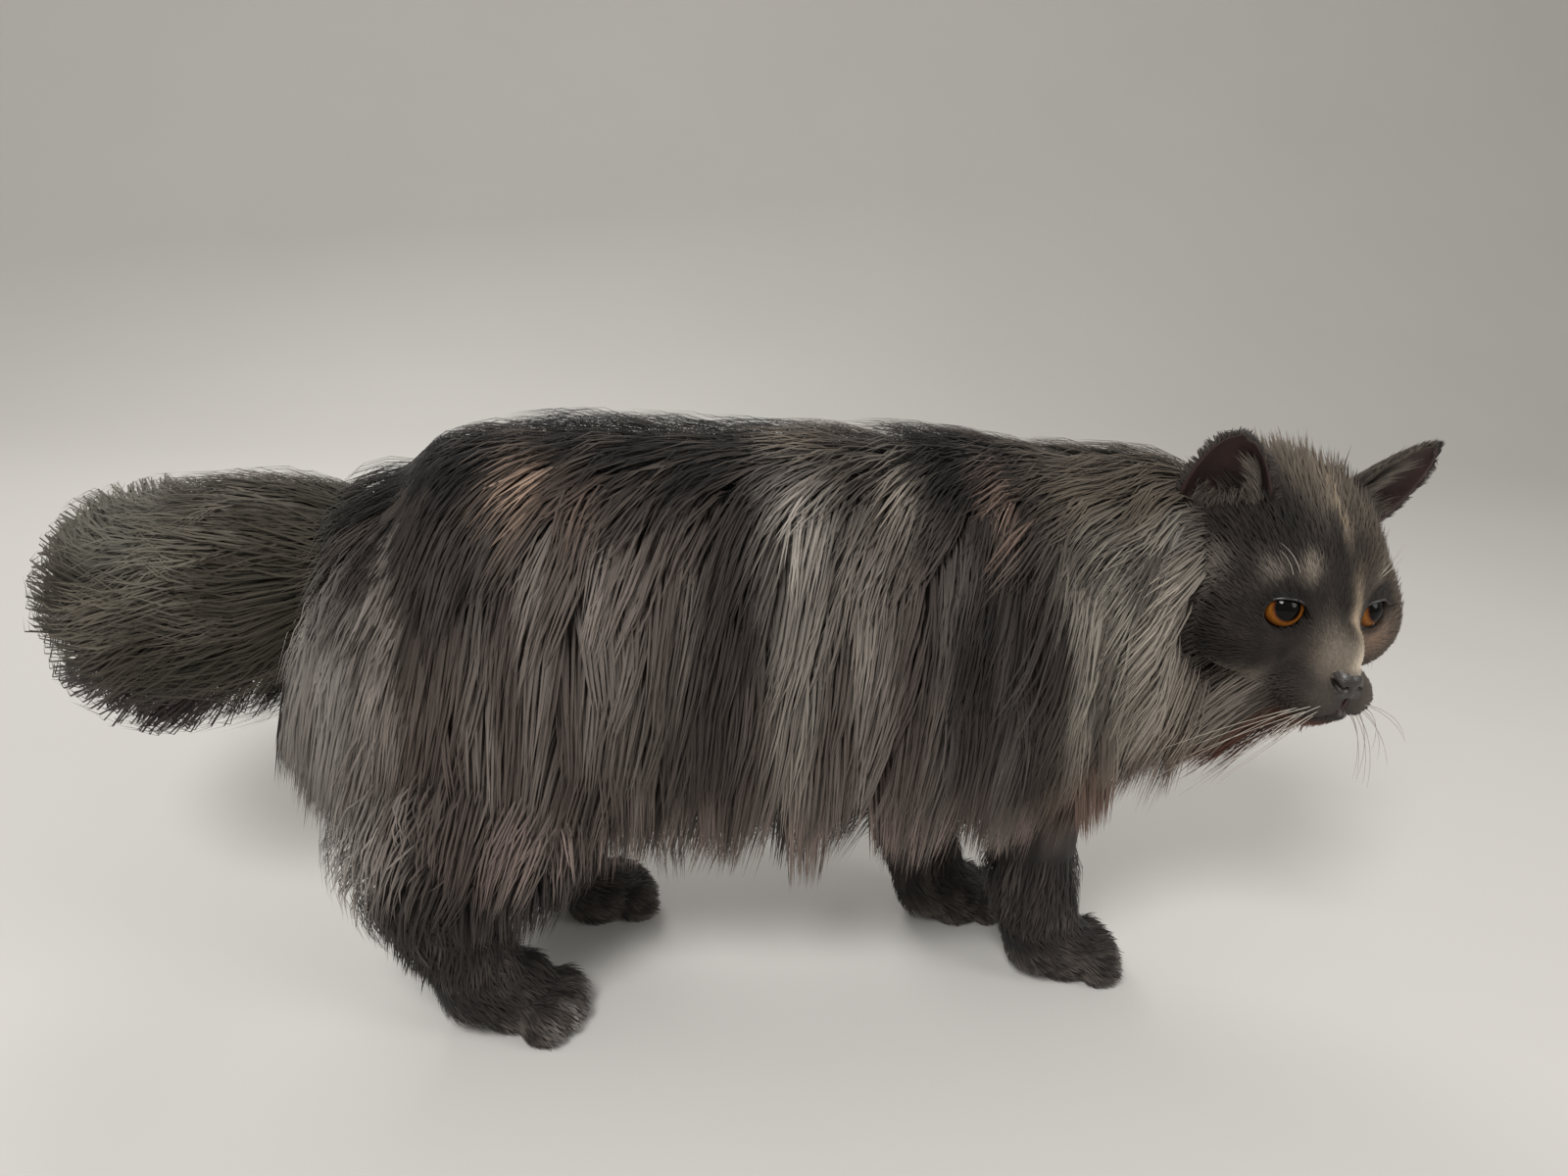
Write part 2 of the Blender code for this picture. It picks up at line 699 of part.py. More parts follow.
def keep_largest(obj):
    """Keeps the largest closed surface of a mesh, without the slivers that the cuts leave."""
    work = bmesh.new()
    work.from_mesh(obj.data)
    unseen, islands = set(work.faces), []
    while unseen:
        island, front = set(), [unseen.pop()]
        while front:
            face = front.pop()
            island.add(face)
            for edge in face.edges:
                for other in edge.link_faces:
                    if other in unseen:
                        unseen.remove(other)
                        front.append(other)
        islands.append(island)
    largest = max(islands, key=lambda faces: sum(f.calc_area() for f in faces))
    lost = [f for island in islands if island is not largest for f in island]
    bmesh.ops.delete(work, geom=lost, context="FACES")
    bmesh.ops.remove_doubles(work, verts=work.verts, dist=SLIVER)
    bmesh.ops.dissolve_degenerate(work, edges=work.edges, dist=SLIVER)
    # A corner with only two edges lies within one straight edge.
    spare = [v for v in work.verts if len(v.link_edges) == 2]
    bmesh.ops.dissolve_verts(work, verts=spare)
    bmesh.ops.triangulate(work, faces=work.faces, quad_method="FIXED", ngon_method="EAR_CLIP")
    # Two triangles back to back on the same three corners enclose nothing.
    same = {}
    for face in work.faces:
        same.setdefault(frozenset(face.verts), []).append(face)
    flat = [f for faces in same.values() if len(faces) == 2 for f in faces]
    bmesh.ops.delete(work, geom=flat, context="FACES")
    work.to_mesh(obj.data)
    work.free()


def hull(name, points):
    """The smallest convex solid round some points."""
    work = bmesh.new()
    for p in points:
        work.verts.new(p)
    found = bmesh.ops.convex_hull(work, input=work.verts)
    inner = [v for v in found["geom_interior"] + found["geom_unused"] if isinstance(v, bmesh.types.BMVert)]
    bmesh.ops.delete(work, geom=list(set(inner)), context="VERTS")
    mesh = bpy.data.meshes.new(name)
    work.to_mesh(mesh)
    work.free()
    obj = bpy.data.objects.new(name, mesh)
    bpy.context.scene.collection.objects.link(obj)
    return outward(obj)


def box_points(low, high, grow):
    return [
        Vector((x, y, z))
        for x in (low[0] * MM - grow, high[0] * MM + grow)
        for y in (low[1] * MM - grow, high[1] * MM + grow)
        for z in (low[2] * MM - grow, high[2] * MM + grow)
    ]


def disc_points(middle, axis, radius, grow, turn=8):
    """A ring of points round an axis."""
    axis = Vector(axis).normalized()
    side = axis.orthogonal().normalized()
    other = axis.cross(side)
    return [
        mm(*middle) + (side * cos(tau * j / turn) + other * sin(tau * j / turn)) * (radius * MM + grow)
        for j in range(turn)
    ]


# The zones in which each part lies. A neighbour is cut back from them by the gap.


def head_zone(grow):
    """A block round the head, narrower at its back and below."""
    front = box_points((10, -78, -56), (90, 78, 70), grow)
    back = box_points((-30, -62, -40), (10, 62, 70), grow)
    return hull("zone_head", [HEAD_AT + HEAD_TURNED @ p for p in front + back])


def ear_zone(side, grow):
    """All that stands above the seat of an ear, where the skull slopes to the side."""
    root, along, mouth, across, _ = ear_frame(side)
    seat = (HEAD_TURNED @ Vector((0.12, side * 0.63, 0.77))).normalized()
    a = (across - seat * across.dot(seat)).normalized()
    b = (mouth - seat * mouth.dot(seat)).normalized()
    points = []
    for i in (-1, 1):
        for j in (-19 * MM - grow, 8 * MM + grow):
            low = root + a * i * (27 * MM + grow) + b * j + seat * (1.5 * MM - grow)
            high = root + across * i * (11 * MM + grow) + mouth * j + along * 64 * MM
            points += [low, high]
    return hull("zone_ear", points)


def neck_zone(grow):
    return hull("zone_neck", box_points((NECK_CUT, -160, 40), (460, 140, 340), grow))


NECK_CUT = 226
TAIL_SPLIT = 3.0


def tail_zone(part, grow):
    """The whole tail, or its base or its tip on either side of the split."""
    middle, forward, _, _, _, _ = ring_frame(TAIL, TAIL_SPLIT)
    root = disc_points((-88, 4, 216), (1, 0, 0), 34, grow)
    root = [p + Vector((grow, 0, 0)) for p in root]
    root += disc_points((-114, 9, 209), (1, 0, 0), 54, grow)
    split = [middle + p for p in disc_points((0, 0, 0), forward, 84, grow)]
    far = [p + forward * 150 * MM for p in split]
    if part == "base":
        return hull("zone_tail_base", root + [p - forward * GAP / 2 for p in split])
    if part == "tip":
        return hull("zone_tail_tip", [p + forward * GAP / 2 for p in split] + far)
    return hull("zone_tail", root + split + far)


def foreleg_zone(side, grow):
    x, y, _, _ = FORELEGS[side]
    low, high = sorted((y - 27, y + 27))
    points = box_points((x - 36, low, -20), (x + 66, high, 40), grow)
    points += disc_points((x - 4, y, 98), (0, 0, 1), 30, grow)
    return hull("zone_foreleg", points)


def hindleg_zone(side, grow):
    x, y, _, _ = HINDLEGS[side]
    sign = -1 if side == "right" else 1
    low, high = sorted((sign * 2, sign * 120))
    points = box_points((x - 70, low, -20), (x + 72, high, 84), grow)
    points += box_points((-88, low, 84), (14, high, 152), grow)
    return hull("zone_hindleg", points)


# Materials, one for each kind of coat and for the eyes.

COATS = {
    "smoke_coat": ("#4a4541", 0.85),
    "ruff_coat": ("#6c6661", 0.85),
    "face_coat": ("#35302d", 0.8),
    "leg_coat": ("#302c29", 0.85),
    "tail_coat": ("#47433a", 0.85),
    "eye": ("#b4662a", 0.1),
}


def material(name):
    colour, roughness = COATS[name]
    made = bpy.data.materials.get(name)
    if made:
        return made
    made = bpy.data.materials.new(name)
    made.use_nodes = True
    shader = made.node_tree.nodes["Principled BSDF"]
    srgb = [int(colour[i : i + 2], 16) / 255 for i in (1, 3, 5)]
    linear = [c / 12.92 if c < 0.04045 else ((c + 0.055) / 1.055) ** 2.4 for c in srgb]
    shader.inputs["Base Color"].default_value = (*linear, 1)
    shader.inputs["Roughness"].default_value = roughness
    return made


def finish(obj, coat):
    obj.data.materials.clear()
    obj.data.materials.append(material(coat))
    obj.data.shade_smooth()
    obj.data.set_sharp_from_angle(angle=radians(50))
    obj.hide_render = False
    obj.display_type = "TEXTURED"


def whole_cat():
    """The body, coat, head and legs, fused into one closed solid."""
    chance = np.random.default_rng(SEED)
    torso = tube("torso_core", mixed(TORSO, TORSO_COAT, CORE_DEPTH), 16, 11)
    pieces = [
        tube("neck_core", mixed(NECK, NECK_COAT, CORE_DEPTH), 14, 6),
        tube("tail_core", mixed(TAIL, TAIL_COAT, CORE_DEPTH), 10, 9),
    ]
    pieces += torso_locks(chance) + ruff_locks(chance) + tail_locks(chance)
    for side in LEFT_RIGHT:
        pieces += breech_locks(side, chance)
    pieces += face_locks(chance)
    pieces.append(head_shell("head_form", 34, 21))
    for side in LEFT_RIGHT:
        pieces += foreleg(side) + hindleg(side)
    for sign in (-1, 1):
        middle, turn = eye_frame(sign)
        pieces.append(ellipsoid("lids", middle, mm(12.6, 12.6, 12.6), turn))
        pieces.append(ear("ear_form", sign))
    return fuse(torso, pieces)


def carve(whole):
    """Cuts the soles flat, and opens the eyes, the mouth and the nostrils."""
    cutters = [hull("cut_floor", box_points((-600, -600, -100), (900, 600, 0), 0))]
    for sign in (-1, 1):
        middle, turn = eye_frame(sign)
        cutters.append(almond_cutter("cut_lids", sign))
        cutters.append(ellipsoid("cut_socket", middle, mm(1, 1, 1) * EYE_RADIUS + mm(1, 1, 1) * 0.3, turn))
    for cutter in cutters + mouth_cutters():
        cut(whole, cutter, "DIFFERENCE")
        bpy.data.objects.remove(cutter, do_unlink=True)


# Each part with its own zone, its coat, and the zones that cut it back, all of those above it.
ZONES = {
    "ear_right": (partial(ear_zone, -1), "face_coat"),
    "ear_left": (partial(ear_zone, 1), "face_coat"),
    "head": (head_zone, "face_coat"),
    "tail_base": (partial(tail_zone, "base"), "tail_coat"),
    "tail_tip": (partial(tail_zone, "tip"), "tail_coat"),
    "foreleg_right": (partial(foreleg_zone, "right"), "leg_coat"),
    "foreleg_left": (partial(foreleg_zone, "left"), "leg_coat"),
    "hindleg_right": (partial(hindleg_zone, "right"), "leg_coat"),
    "hindleg_left": (partial(hindleg_zone, "left"), "leg_coat"),
    "neck": (neck_zone, "ruff_coat"),
}
# The two lengths of the tail part along one plane, so they don't cut each other.
SPLIT_PAIR = {"tail_base", "tail_tip"}


def part_out(whole, name, zone, others, coat):
    """One part: the whole inside its zone, outside the others, as one closed surface."""
    obj = whole.copy()
    obj.data = whole.data.copy()
    obj.name = name
    bpy.context.scene.collection.objects.link(obj)
    steps = [(zone(0.0), "INTERSECT")] if zone else []
    steps += [(other(GAP), "DIFFERENCE") for other in others]
    for cutter, operation in steps:
        cut(obj, cutter, operation)
        bpy.data.objects.remove(cutter, do_unlink=True)
    keep_largest(obj)
    finish(obj, coat)
    return obj


def main():
    clear_scene()
    whole = whole_cat()
    carve(whole)
    made, taken = [], []
    for name, (zone, coat) in ZONES.items():
        others = [] if name in SPLIT_PAIR else taken
        made.append(part_out(whole, name, zone, others, coat))
        taken = taken + [zone]
    torso_taken = [zone for zone in taken if zone not in (ZONES["tail_base"][0], ZONES["tail_tip"][0])]
    torso_taken.append(partial(tail_zone, "all"))
    made.append(part_out(whole, "torso", None, torso_taken, "smoke_coat"))
    bpy.data.objects.remove(whole, do_unlink=True)
    for sign, name in ((-1, "eye_right"), (1, "eye_left")):
        middle, turn = eye_frame(sign)
        ball = ellipsoid(name, middle, mm(1, 1, 1) * EYE_RADIUS, turn)
        finish(ball, "eye")
        made.append(ball)

    # The origin goes to the floor under the middle of the cat's box.
    corners = np.array([v.co for obj in made for v in obj.data.vertices])
    low, high = corners.min(0), corners.max(0)
    shift = Vector(((low[0] + high[0]) / 2, (low[1] + high[1]) / 2, 0))
    for obj in made:
        obj.data.transform(Matrix.Translation(-shift))
        obj.data.update()
    print("box", [round(float(v) / MM, 1) for v in high - low], "shift", [round(v / MM, 2) for v in shift])
    for obj in made:
        print(obj.name, len(obj.data.polygons))


main()
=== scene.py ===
# A long-haired Persian cat in life size, as a still model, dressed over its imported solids.
# Sizes are in millimetres in the cat's own frame: X to its chest, Y to its left, Z up,
# with the mid point between its hind paws as origin. stand() moves them to the row frame.

import bmesh
import bpy
import numpy as np
from mathutils import Matrix, Vector
from mathutils.bvhtree import BVHTree
from mathutils.kdtree import KDTree


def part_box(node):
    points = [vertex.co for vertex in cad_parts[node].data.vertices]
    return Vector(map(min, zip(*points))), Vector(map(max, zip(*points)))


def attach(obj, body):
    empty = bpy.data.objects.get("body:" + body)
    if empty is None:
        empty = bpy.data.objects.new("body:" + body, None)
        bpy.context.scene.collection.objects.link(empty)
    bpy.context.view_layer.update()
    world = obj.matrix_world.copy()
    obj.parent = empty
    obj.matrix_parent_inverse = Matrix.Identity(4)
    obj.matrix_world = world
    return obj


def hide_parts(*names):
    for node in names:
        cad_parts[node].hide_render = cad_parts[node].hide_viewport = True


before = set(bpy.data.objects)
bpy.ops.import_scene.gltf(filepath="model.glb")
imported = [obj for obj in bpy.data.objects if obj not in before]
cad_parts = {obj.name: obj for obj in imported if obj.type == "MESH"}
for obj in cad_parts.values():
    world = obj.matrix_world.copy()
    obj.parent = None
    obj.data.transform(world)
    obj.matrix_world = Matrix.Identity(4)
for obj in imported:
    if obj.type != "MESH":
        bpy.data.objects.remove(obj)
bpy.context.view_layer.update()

# Where the cat stands.
# The head is held low and turned to the cat's right, towards the camera, a little bowed and tilted.
# The right eyeball of the solids says how far the cat's own frame lies from the row frame.

MM = 0.001
HEAD_MIDDLE = np.array((343.0, -48.0, 218.0))
HEAD_TURN, HEAD_BOW, HEAD_TILT = -84, 9, -2.5
# The left eyeball's middle in the head's frame.
EYE = np.array((22.5, 21.5, 4.0))


def rotation(axis, degrees):
    """A turn round one axis as a numpy matrix."""
    return np.array(Matrix.Rotation(np.radians(degrees), 3, axis))


HEAD_AXES = rotation("Z", HEAD_TURN) @ rotation("Y", HEAD_BOW) @ rotation("X", HEAD_TILT)


def from_head(points):
    """Points of the head's frame, X forward, Y to its left and Z up, in the cat's frame."""
    return HEAD_MIDDLE + np.asarray(points, float) @ HEAD_AXES.T


def to_head(points):
    return (np.asarray(points, float) - HEAD_MIDDLE) @ HEAD_AXES


def eye_middle(side):
    """An eyeball's middle in the cat's frame. Side is -1 for the right eye and 1 for the left."""
    return from_head(EYE * (1, side, 1))


eye_low, eye_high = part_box("eye_right")
SHIFT = eye_middle(-1) * MM - (np.array(eye_low) + np.array(eye_high)) / 2


def stand(points):
    """Points of the cat's frame in millimetres, as metres in the row frame."""
    return np.asarray(points, float) * MM - SHIFT


def from_stand(points):
    """Points of the row frame in metres, as millimetres in the cat's frame."""
    return (points + SHIFT) / MM


# The body's forms under the coat.
# Bone, muscle and skin, from a cat's anatomy: lofts of ellipses along the trunk, neck, tail and legs.
# Each row is a middle (x, y, z), a half width and a half height. The coat's outer bounds have like rows.

TORSO = [
    (-92, 0, 208, 16, 18),
    (-82, 0, 206, 34, 38),
    (-55, 0, 203, 48, 56),
    (0, 0, 199, 54, 64),
    (65, 0, 197, 57, 66),
    (130, 0, 196, 58, 67),
    (190, -1, 197, 57, 66),
    (235, -4, 201, 51, 61),
    (262, -8, 206, 42, 52),
]
TORSO_COAT = [
    (-97, 0, 192, 42, 46),
    (-86, 0, 186, 60, 72),
    (-56, 0, 179, 77, 95),
    (0, 0, 177, 84, 110),
    (65, 0, 176, 86, 112),
    (130, 0, 175, 87, 113),
    (190, -1, 175, 87, 111),
    (238, -6, 180, 82, 102),
    (272, -12, 188, 70, 86),
]
NECK = [
    (238, -5, 204, 48, 58),
    (264, -8, 208, 43, 51),
    (290, -11, 212, 39, 46),
    (314, -15, 215, 36, 41),
    (334, -22, 217, 30, 34),
]
NECK_COAT = [
    (238, -8, 183, 82, 100),
    (264, -9, 190, 74, 91),
    (290, -10, 195, 59, 85),
    (314, -13, 199, 56, 78),
    (336, -18, 202, 46, 66),
]
TAIL = [
    (-80, 3, 222, 11, 11),
    (-108, 8, 216, 10, 10),
    (-144, 22, 196, 9, 9),
    (-176, 46, 180, 8, 8),
    (-196, 78, 174, 7, 7),
    (-204, 108, 180, 5, 5),
]
TAIL_COAT = [
    (-80, 3, 212, 36, 36),
    (-108, 8, 205, 46, 50),
    (-144, 22, 188, 55, 60),
    (-176, 46, 176, 58, 63),
    (-196, 76, 174, 52, 57),
    (-206, 106, 180, 34, 38),
]
# Where each leg comes down, and where its paw stands.
FORELEGS = {"right": (244, -31, 266, -28), "left": (200, 31, 222, 28)}
HINDLEGS = {"right": (-34, -46, -12, -44), "left": (6, 46, 28, 44)}
FORE_TOES_TURN = {"right": -8, "left": 8}
HIND_TOES_TURN = {"right": -24, "left": 16}
UPRIGHT = (0, 0, 1)
# The legs run down, so their rings are set out from the cat's left.
LEG_UPRIGHT = (0, 1, 0)


def along_line(stations, t):
    """The rows at t, on a Catmull-Rom curve through all of them, and straight on past its ends."""
    rows = np.array(stations, float)
    last = len(rows) - 1
    t = np.atleast_1d(np.asarray(t, float))
    i = np.clip(t.astype(int), 0, last - 1)
    f = (np.clip(t, 0, last) - i)[:, None]
    a, b, c, d = (rows[np.clip(i + k, 0, last)] for k in (-1, 0, 1, 2))
    bend, twist = 2 * a - 5 * b + 4 * c - d, 3 * b - a - 3 * c + d
    curve = 0.5 * (2 * b + (c - a) * f + bend * f**2 + twist * f**3)
    before = np.minimum(t, 0)[:, None] * (rows[1] - rows[0])
    after = np.maximum(t - last, 0)[:, None] * (rows[-1] - rows[-2])
    return curve + before + after


def unit(vectors):
    return vectors / np.maximum(np.linalg.norm(vectors, axis=-1, keepdims=True), 1e-9)


def tube_frame(stations, t, upright=UPRIGHT):
    """Middle, forward, sideways and upward directions, half width and half height at each t."""
    here = along_line(stations, t)
    step = 0.05
    forward = unit((along_line(stations, t + step) - along_line(stations, t - step))[:, :3])
    side = unit(np.cross(forward, np.array(upright, float)))
    up = np.cross(side, forward)
    return here[:, :3], forward, side, up, here[:, 3:4], here[:, 4:5]


def tube_point(stations, t, angle, upright=UPRIGHT):
    """Points on a tube and their outward directions. Angle 0 is its top, a quarter turn its right side."""
    middle, _, side, up, width, height = tube_frame(stations, t, upright)
    s, c = np.sin(angle)[:, None], np.cos(angle)[:, None]
    return middle + side * width * s + up * height * c, unit(side * s / width + up * c / height)


def mixed(skin, coat, depth):
    """The rows of the surface that lies at a depth of the coat: 0 at the skin and 1 at the hair tips."""
    return [tuple(a + (b - a) * depth for a, b in zip(s, c)) for s, c in zip(skin, coat)]


def new_mesh(name, verts, faces):
    """A closed mesh with its faces turned outwards, or an open one."""
    mesh = bpy.data.meshes.new(name)
    mesh.from_pydata([tuple(v) for v in verts], [], [tuple(f) for f in faces])
    obj = bpy.data.objects.new(name, mesh)
    bpy.context.scene.collection.objects.link(obj)
    work = bmesh.new()
    work.from_mesh(mesh)
    bmesh.ops.recalc_face_normals(work, faces=work.faces)
    if work.calc_volume(signed=True) < 0:
        bmesh.ops.reverse_faces(work, faces=work.faces)
    work.to_mesh(mesh)
    work.free()
    return obj


def grid_faces(rings, around):
    """Quads between closed rings of points."""
    faces = []
    for k in range(rings - 1):
        for j in range(around):
            a, b = k * around + j, k * around + (j + 1) % around
            faces.append((a, b, b + around, a + around))
    return faces


def ball_faces(rings, around):
    """The faces of a ball: a pole, the rings between the poles, and the other pole."""
    faces = [tuple(1 + v for v in f) for f in grid_faces(rings - 1, around)]
    last = 1 + (rings - 1) * around
    for j in range(around):
        n = (j + 1) % around
        faces += [(0, 1 + n, 1 + j), (last, last - around + j, last - around + n)]
    return faces


def tube(name, stations, around, rings, upright=UPRIGHT):
    """A closed loft along the rows, with a domed cap at each end."""
    dome = 0.45
    last = len(stations) - 1
    t = np.repeat(np.linspace(0, last, rings), around)
    angle = np.tile(np.arange(around) * 2 * np.pi / around, rings)
    verts = list(tube_point(stations, t, angle, upright)[0])
    faces = grid_faces(rings, around)
    for end, first, sign in ((0.0, 0, -1), (float(last), (rings - 1) * around, 1)):
        middle, forward, _, _, width, _ = tube_frame(stations, end, upright)
        verts.append(middle[0] + forward[0] * sign * width[0] * dome)
        pole = len(verts) - 1
        faces += [(first + j, first + (j + 1) % around, pole) for j in range(around)]
    return new_mesh(name, stand(verts), faces)


def ball(name, middle, radii, axes=np.eye(3), around=24, rings=14):
    """A closed ellipsoid with its poles on its first axis."""
    verts = [(1.0, 0.0, 0.0)]
    for k in range(1, rings):
        polar = np.pi * k / rings
        for j in range(around):
            a = 2 * np.pi * j / around
            verts.append((np.cos(polar), np.sin(polar) * np.cos(a), np.sin(polar) * np.sin(a)))
    verts.append((-1.0, 0.0, 0.0))
    placed = np.array(middle) + (np.array(verts) * np.array(radii)) @ np.array(axes).T
    return new_mesh(name, stand(placed), ball_faces(rings, around))


def leg_rows(front, side, grow):
    """The rows of a leg, from inside the body down to the wrist or hock."""
    x, y, foot_x, foot_y = (FORELEGS if front else HINDLEGS)[side]
    if front:
        rows = [
            (x - 12, y * 0.9, 168, 30, 24),
            (x - 10, y, 130, 27, 22),
            (x - 4, y, 96, 21, 19),
            (x, y, 60, 17, 16),
            (foot_x - 14, foot_y, 30, 16, 16),
            (foot_x - 8, foot_y, 14, 17, 17),
        ]
    else:
        rows = [
            (x + 24, y * 0.72, 160, 42, 24),
            (x + 20, y * 0.85, 124, 38, 24),
            (x + 4, y, 92, 27, 20),
            (x - 4, y, 66, 19, 16),
            (x - 1, y, 42, 16, 16),
            (foot_x - 14, foot_y, 16, 18, 17),
        ]
    return [(a, b, c, w + grow, h + grow) for a, b, c, w, h in rows]


def paw(at, length, width, height, turn):
    """The pad and four toes of one paw, a little inside the solids to leave room for its fur."""
    facing = rotation("Z", turn)
    inset = 2.0
    pad = np.array((at[0], at[1], height * 0.72)) - facing @ (length * 0.16, 0, 0)
    found = [ball("pad", pad, (length * 0.62 - inset, width - inset, height - inset), facing)]
    for k in range(4):
        across = (k - 1.5) / 1.5
        reach = length * (0.62 - 0.16 * across * across)
        toe = np.array((at[0], at[1], height * 0.52)) + facing @ (reach, across * width * 0.66, 0)
        splay = facing @ rotation("Z", 16 * across)
        size = (length * 0.42 - inset, width * 0.33 - inset * 0.5, height * 0.66 - inset)
        found.append(ball("toe", toe, size, splay))
    return found


def breech_rows(side):
    """The outer bounds of the long hair round a thigh, down to the hock."""
    x, y, foot_x, foot_y = HINDLEGS[side]
    return [
        (x + 8, y * 0.8, 160, 76, 42),
        (x + 0, y * 0.9, 124, 70, 40),
        (x - 12, y, 92, 54, 30),
        (x - 14, y, 66, 33, 23),
        (x - 2, y, 42, 21, 21),
        (foot_x - 14, foot_y, 16, 22, 21),
    ]


# The skin lies this far out from bone and muscle towards the hair tips, and the hair is rooted in it.
SKIN_DEPTH = 0.3
THIGH_DEPTH = 0.55
LEG_SKIN = 3.0
body_forms = [
    tube("trunk", mixed(TORSO, TORSO_COAT, SKIN_DEPTH), 64, 60),
    tube("neck_form", mixed(NECK, NECK_COAT, SKIN_DEPTH), 48, 24),
    tube("tail_form", mixed(TAIL, TAIL_COAT, SKIN_DEPTH), 32, 40),
]
for side in ("right", "left"):
    body_forms.append(tube("foreleg_form", leg_rows(True, side, LEG_SKIN), 32, 32, LEG_UPRIGHT))
    thigh = mixed(leg_rows(False, side, 1.0), breech_rows(side), THIGH_DEPTH)
    body_forms.append(tube("hindleg_form", thigh, 40, 32, LEG_UPRIGHT))
    fore_x, fore_y = FORELEGS[side][2:]
    hind_x, hind_y = HINDLEGS[side][2:]
    body_forms += paw((fore_x + 4, fore_y), 28, 23, 20, FORE_TOES_TURN[side])
    body_forms += paw((hind_x + 2, hind_y), 30, 23, 20, HIND_TOES_TURN[side])


def join(objects):
    """Puts several meshes in the first one."""
    with bpy.context.temp_override(
        active_object=objects[0], selected_objects=objects, selected_editable_objects=objects
    ):
        bpy.ops.object.join()
    return objects[0]


def take_shape(obj):
    """Applies the object's modifiers."""
    mesh = bpy.data.meshes.new_from_object(obj.evaluated_get(bpy.context.evaluated_depsgraph_get()))
    obj.modifiers.clear()
    obj.data = mesh
    return obj


SKIN_GRAIN = 2.6
body_form = join(body_forms)
remesh = body_form.modifiers.new("one surface", "REMESH")
remesh.mode = "VOXEL"
remesh.voxel_size = SKIN_GRAIN * MM
soften = body_form.modifiers.new("soften", "SMOOTH")
soften.factor = 0.5
soften.iterations = 4
take_shape(body_form)

# The head.
# A doll-faced Persian's skull: broad and round, with full cheeks, whisker pads, a short nose and a chin.
# Each row is a form's middle and radii in the head's frame, and one set off to a side stands on both.

SKULL_FORMS = [
    ((-10, 0, 11), (45, 46, 43)),
    ((6, 32, -10), (28, 28, 28)),
    ((11, 25, 5), (18, 22, 20)),
    ((12, 13, 26), (19, 16, 15)),
    ((26, 0, 6), (15, 12, 17)),
    ((40, 0, -8), (14, 10, 12)),
    ((43, 9.5, -28), (14, 13, 10)),
    ((37, 0, -38), (12, 12, 9.5)),
    ((10, 0, -32), (30, 30, 21)),
]
NOSE_FORMS = [
    ((53.5, 0, -16), (6, 6.5, 5)),
    ((54.5, 3.8, -19.5), (4.4, 3.8, 3.6)),
    ((54, 0, -22), (4.5, 3, 3.5)),
]
SKULL_BLEND = 4.5
NOSE_BLEND = 1.2
NOSE_TIP = np.array((58.0, 0.0, -18.0))
# Lines on the face's front, as (left, up): between the lips, and from the nose down to them.
LIP_LINE = [(0, -31), (5, -34.5), (10, -36), (16, -35), (21, -32.5)]
NOSE_CLEFT = [(0, -25), (0, -31)]
NOSTRIL_SLIT = [(3.4, -19.8), (6.2, -19.0), (7.0, -17.6)]


def form_distance(points, middle, radii):
    """Nearly the distance from each point to an ellipsoid, negative inside."""
    q = (points - np.array(middle)) / np.array(radii)
    near = np.linalg.norm(q, axis=1)
    slope = np.linalg.norm(q / np.array(radii), axis=1)
    return near * (near - 1) / np.maximum(slope, 1e-6)


def blended(points, forms, blend):
    """The distance to a skin drawn smoothly over all the forms, negative inside."""
    total = 0
    for (forward, left, up), radii in forms:
        for side in (1, -1) if left else (1,):
            total = total + np.exp(-form_distance(points, (forward, side * left, up), radii) / blend)
    return -blend * np.log(np.maximum(total, 1e-30))


def off_skull(points):
    """How far points of the head's frame lie off the skull, negative inside it."""
    return blended(points, SKULL_FORMS, SKULL_BLEND)


def smooth(value, start, end):
    """0 before start, 1 after end, and smooth between them, whichever is the larger."""
    x = np.clip((value - start) / (end - start), 0, 1)
    return x * x * (3 - 2 * x)


def line_distance(across, up, line):
    """The least distance from each point of the face's front to a line of points."""
    best = np.full(len(across), 1e9)
    points = np.column_stack((across, up))
    for a, b in zip(np.array(line[:-1], float), np.array(line[1:], float)):
        share = np.clip(((points - a) @ (b - a)) / ((b - a) @ (b - a)), 0, 1)[:, None]
        best = np.minimum(best, np.linalg.norm(points - a - (b - a) * share, axis=1))
    return best


def lip_distance(across, up, cleft_share=1.0):
    """The least distance to the lips' line or to the cleft above it. A larger share narrows the cleft."""
    cleft = line_distance(across, up, NOSE_CLEFT) * cleft_share
    return np.minimum(line_distance(across, up, LIP_LINE), cleft)


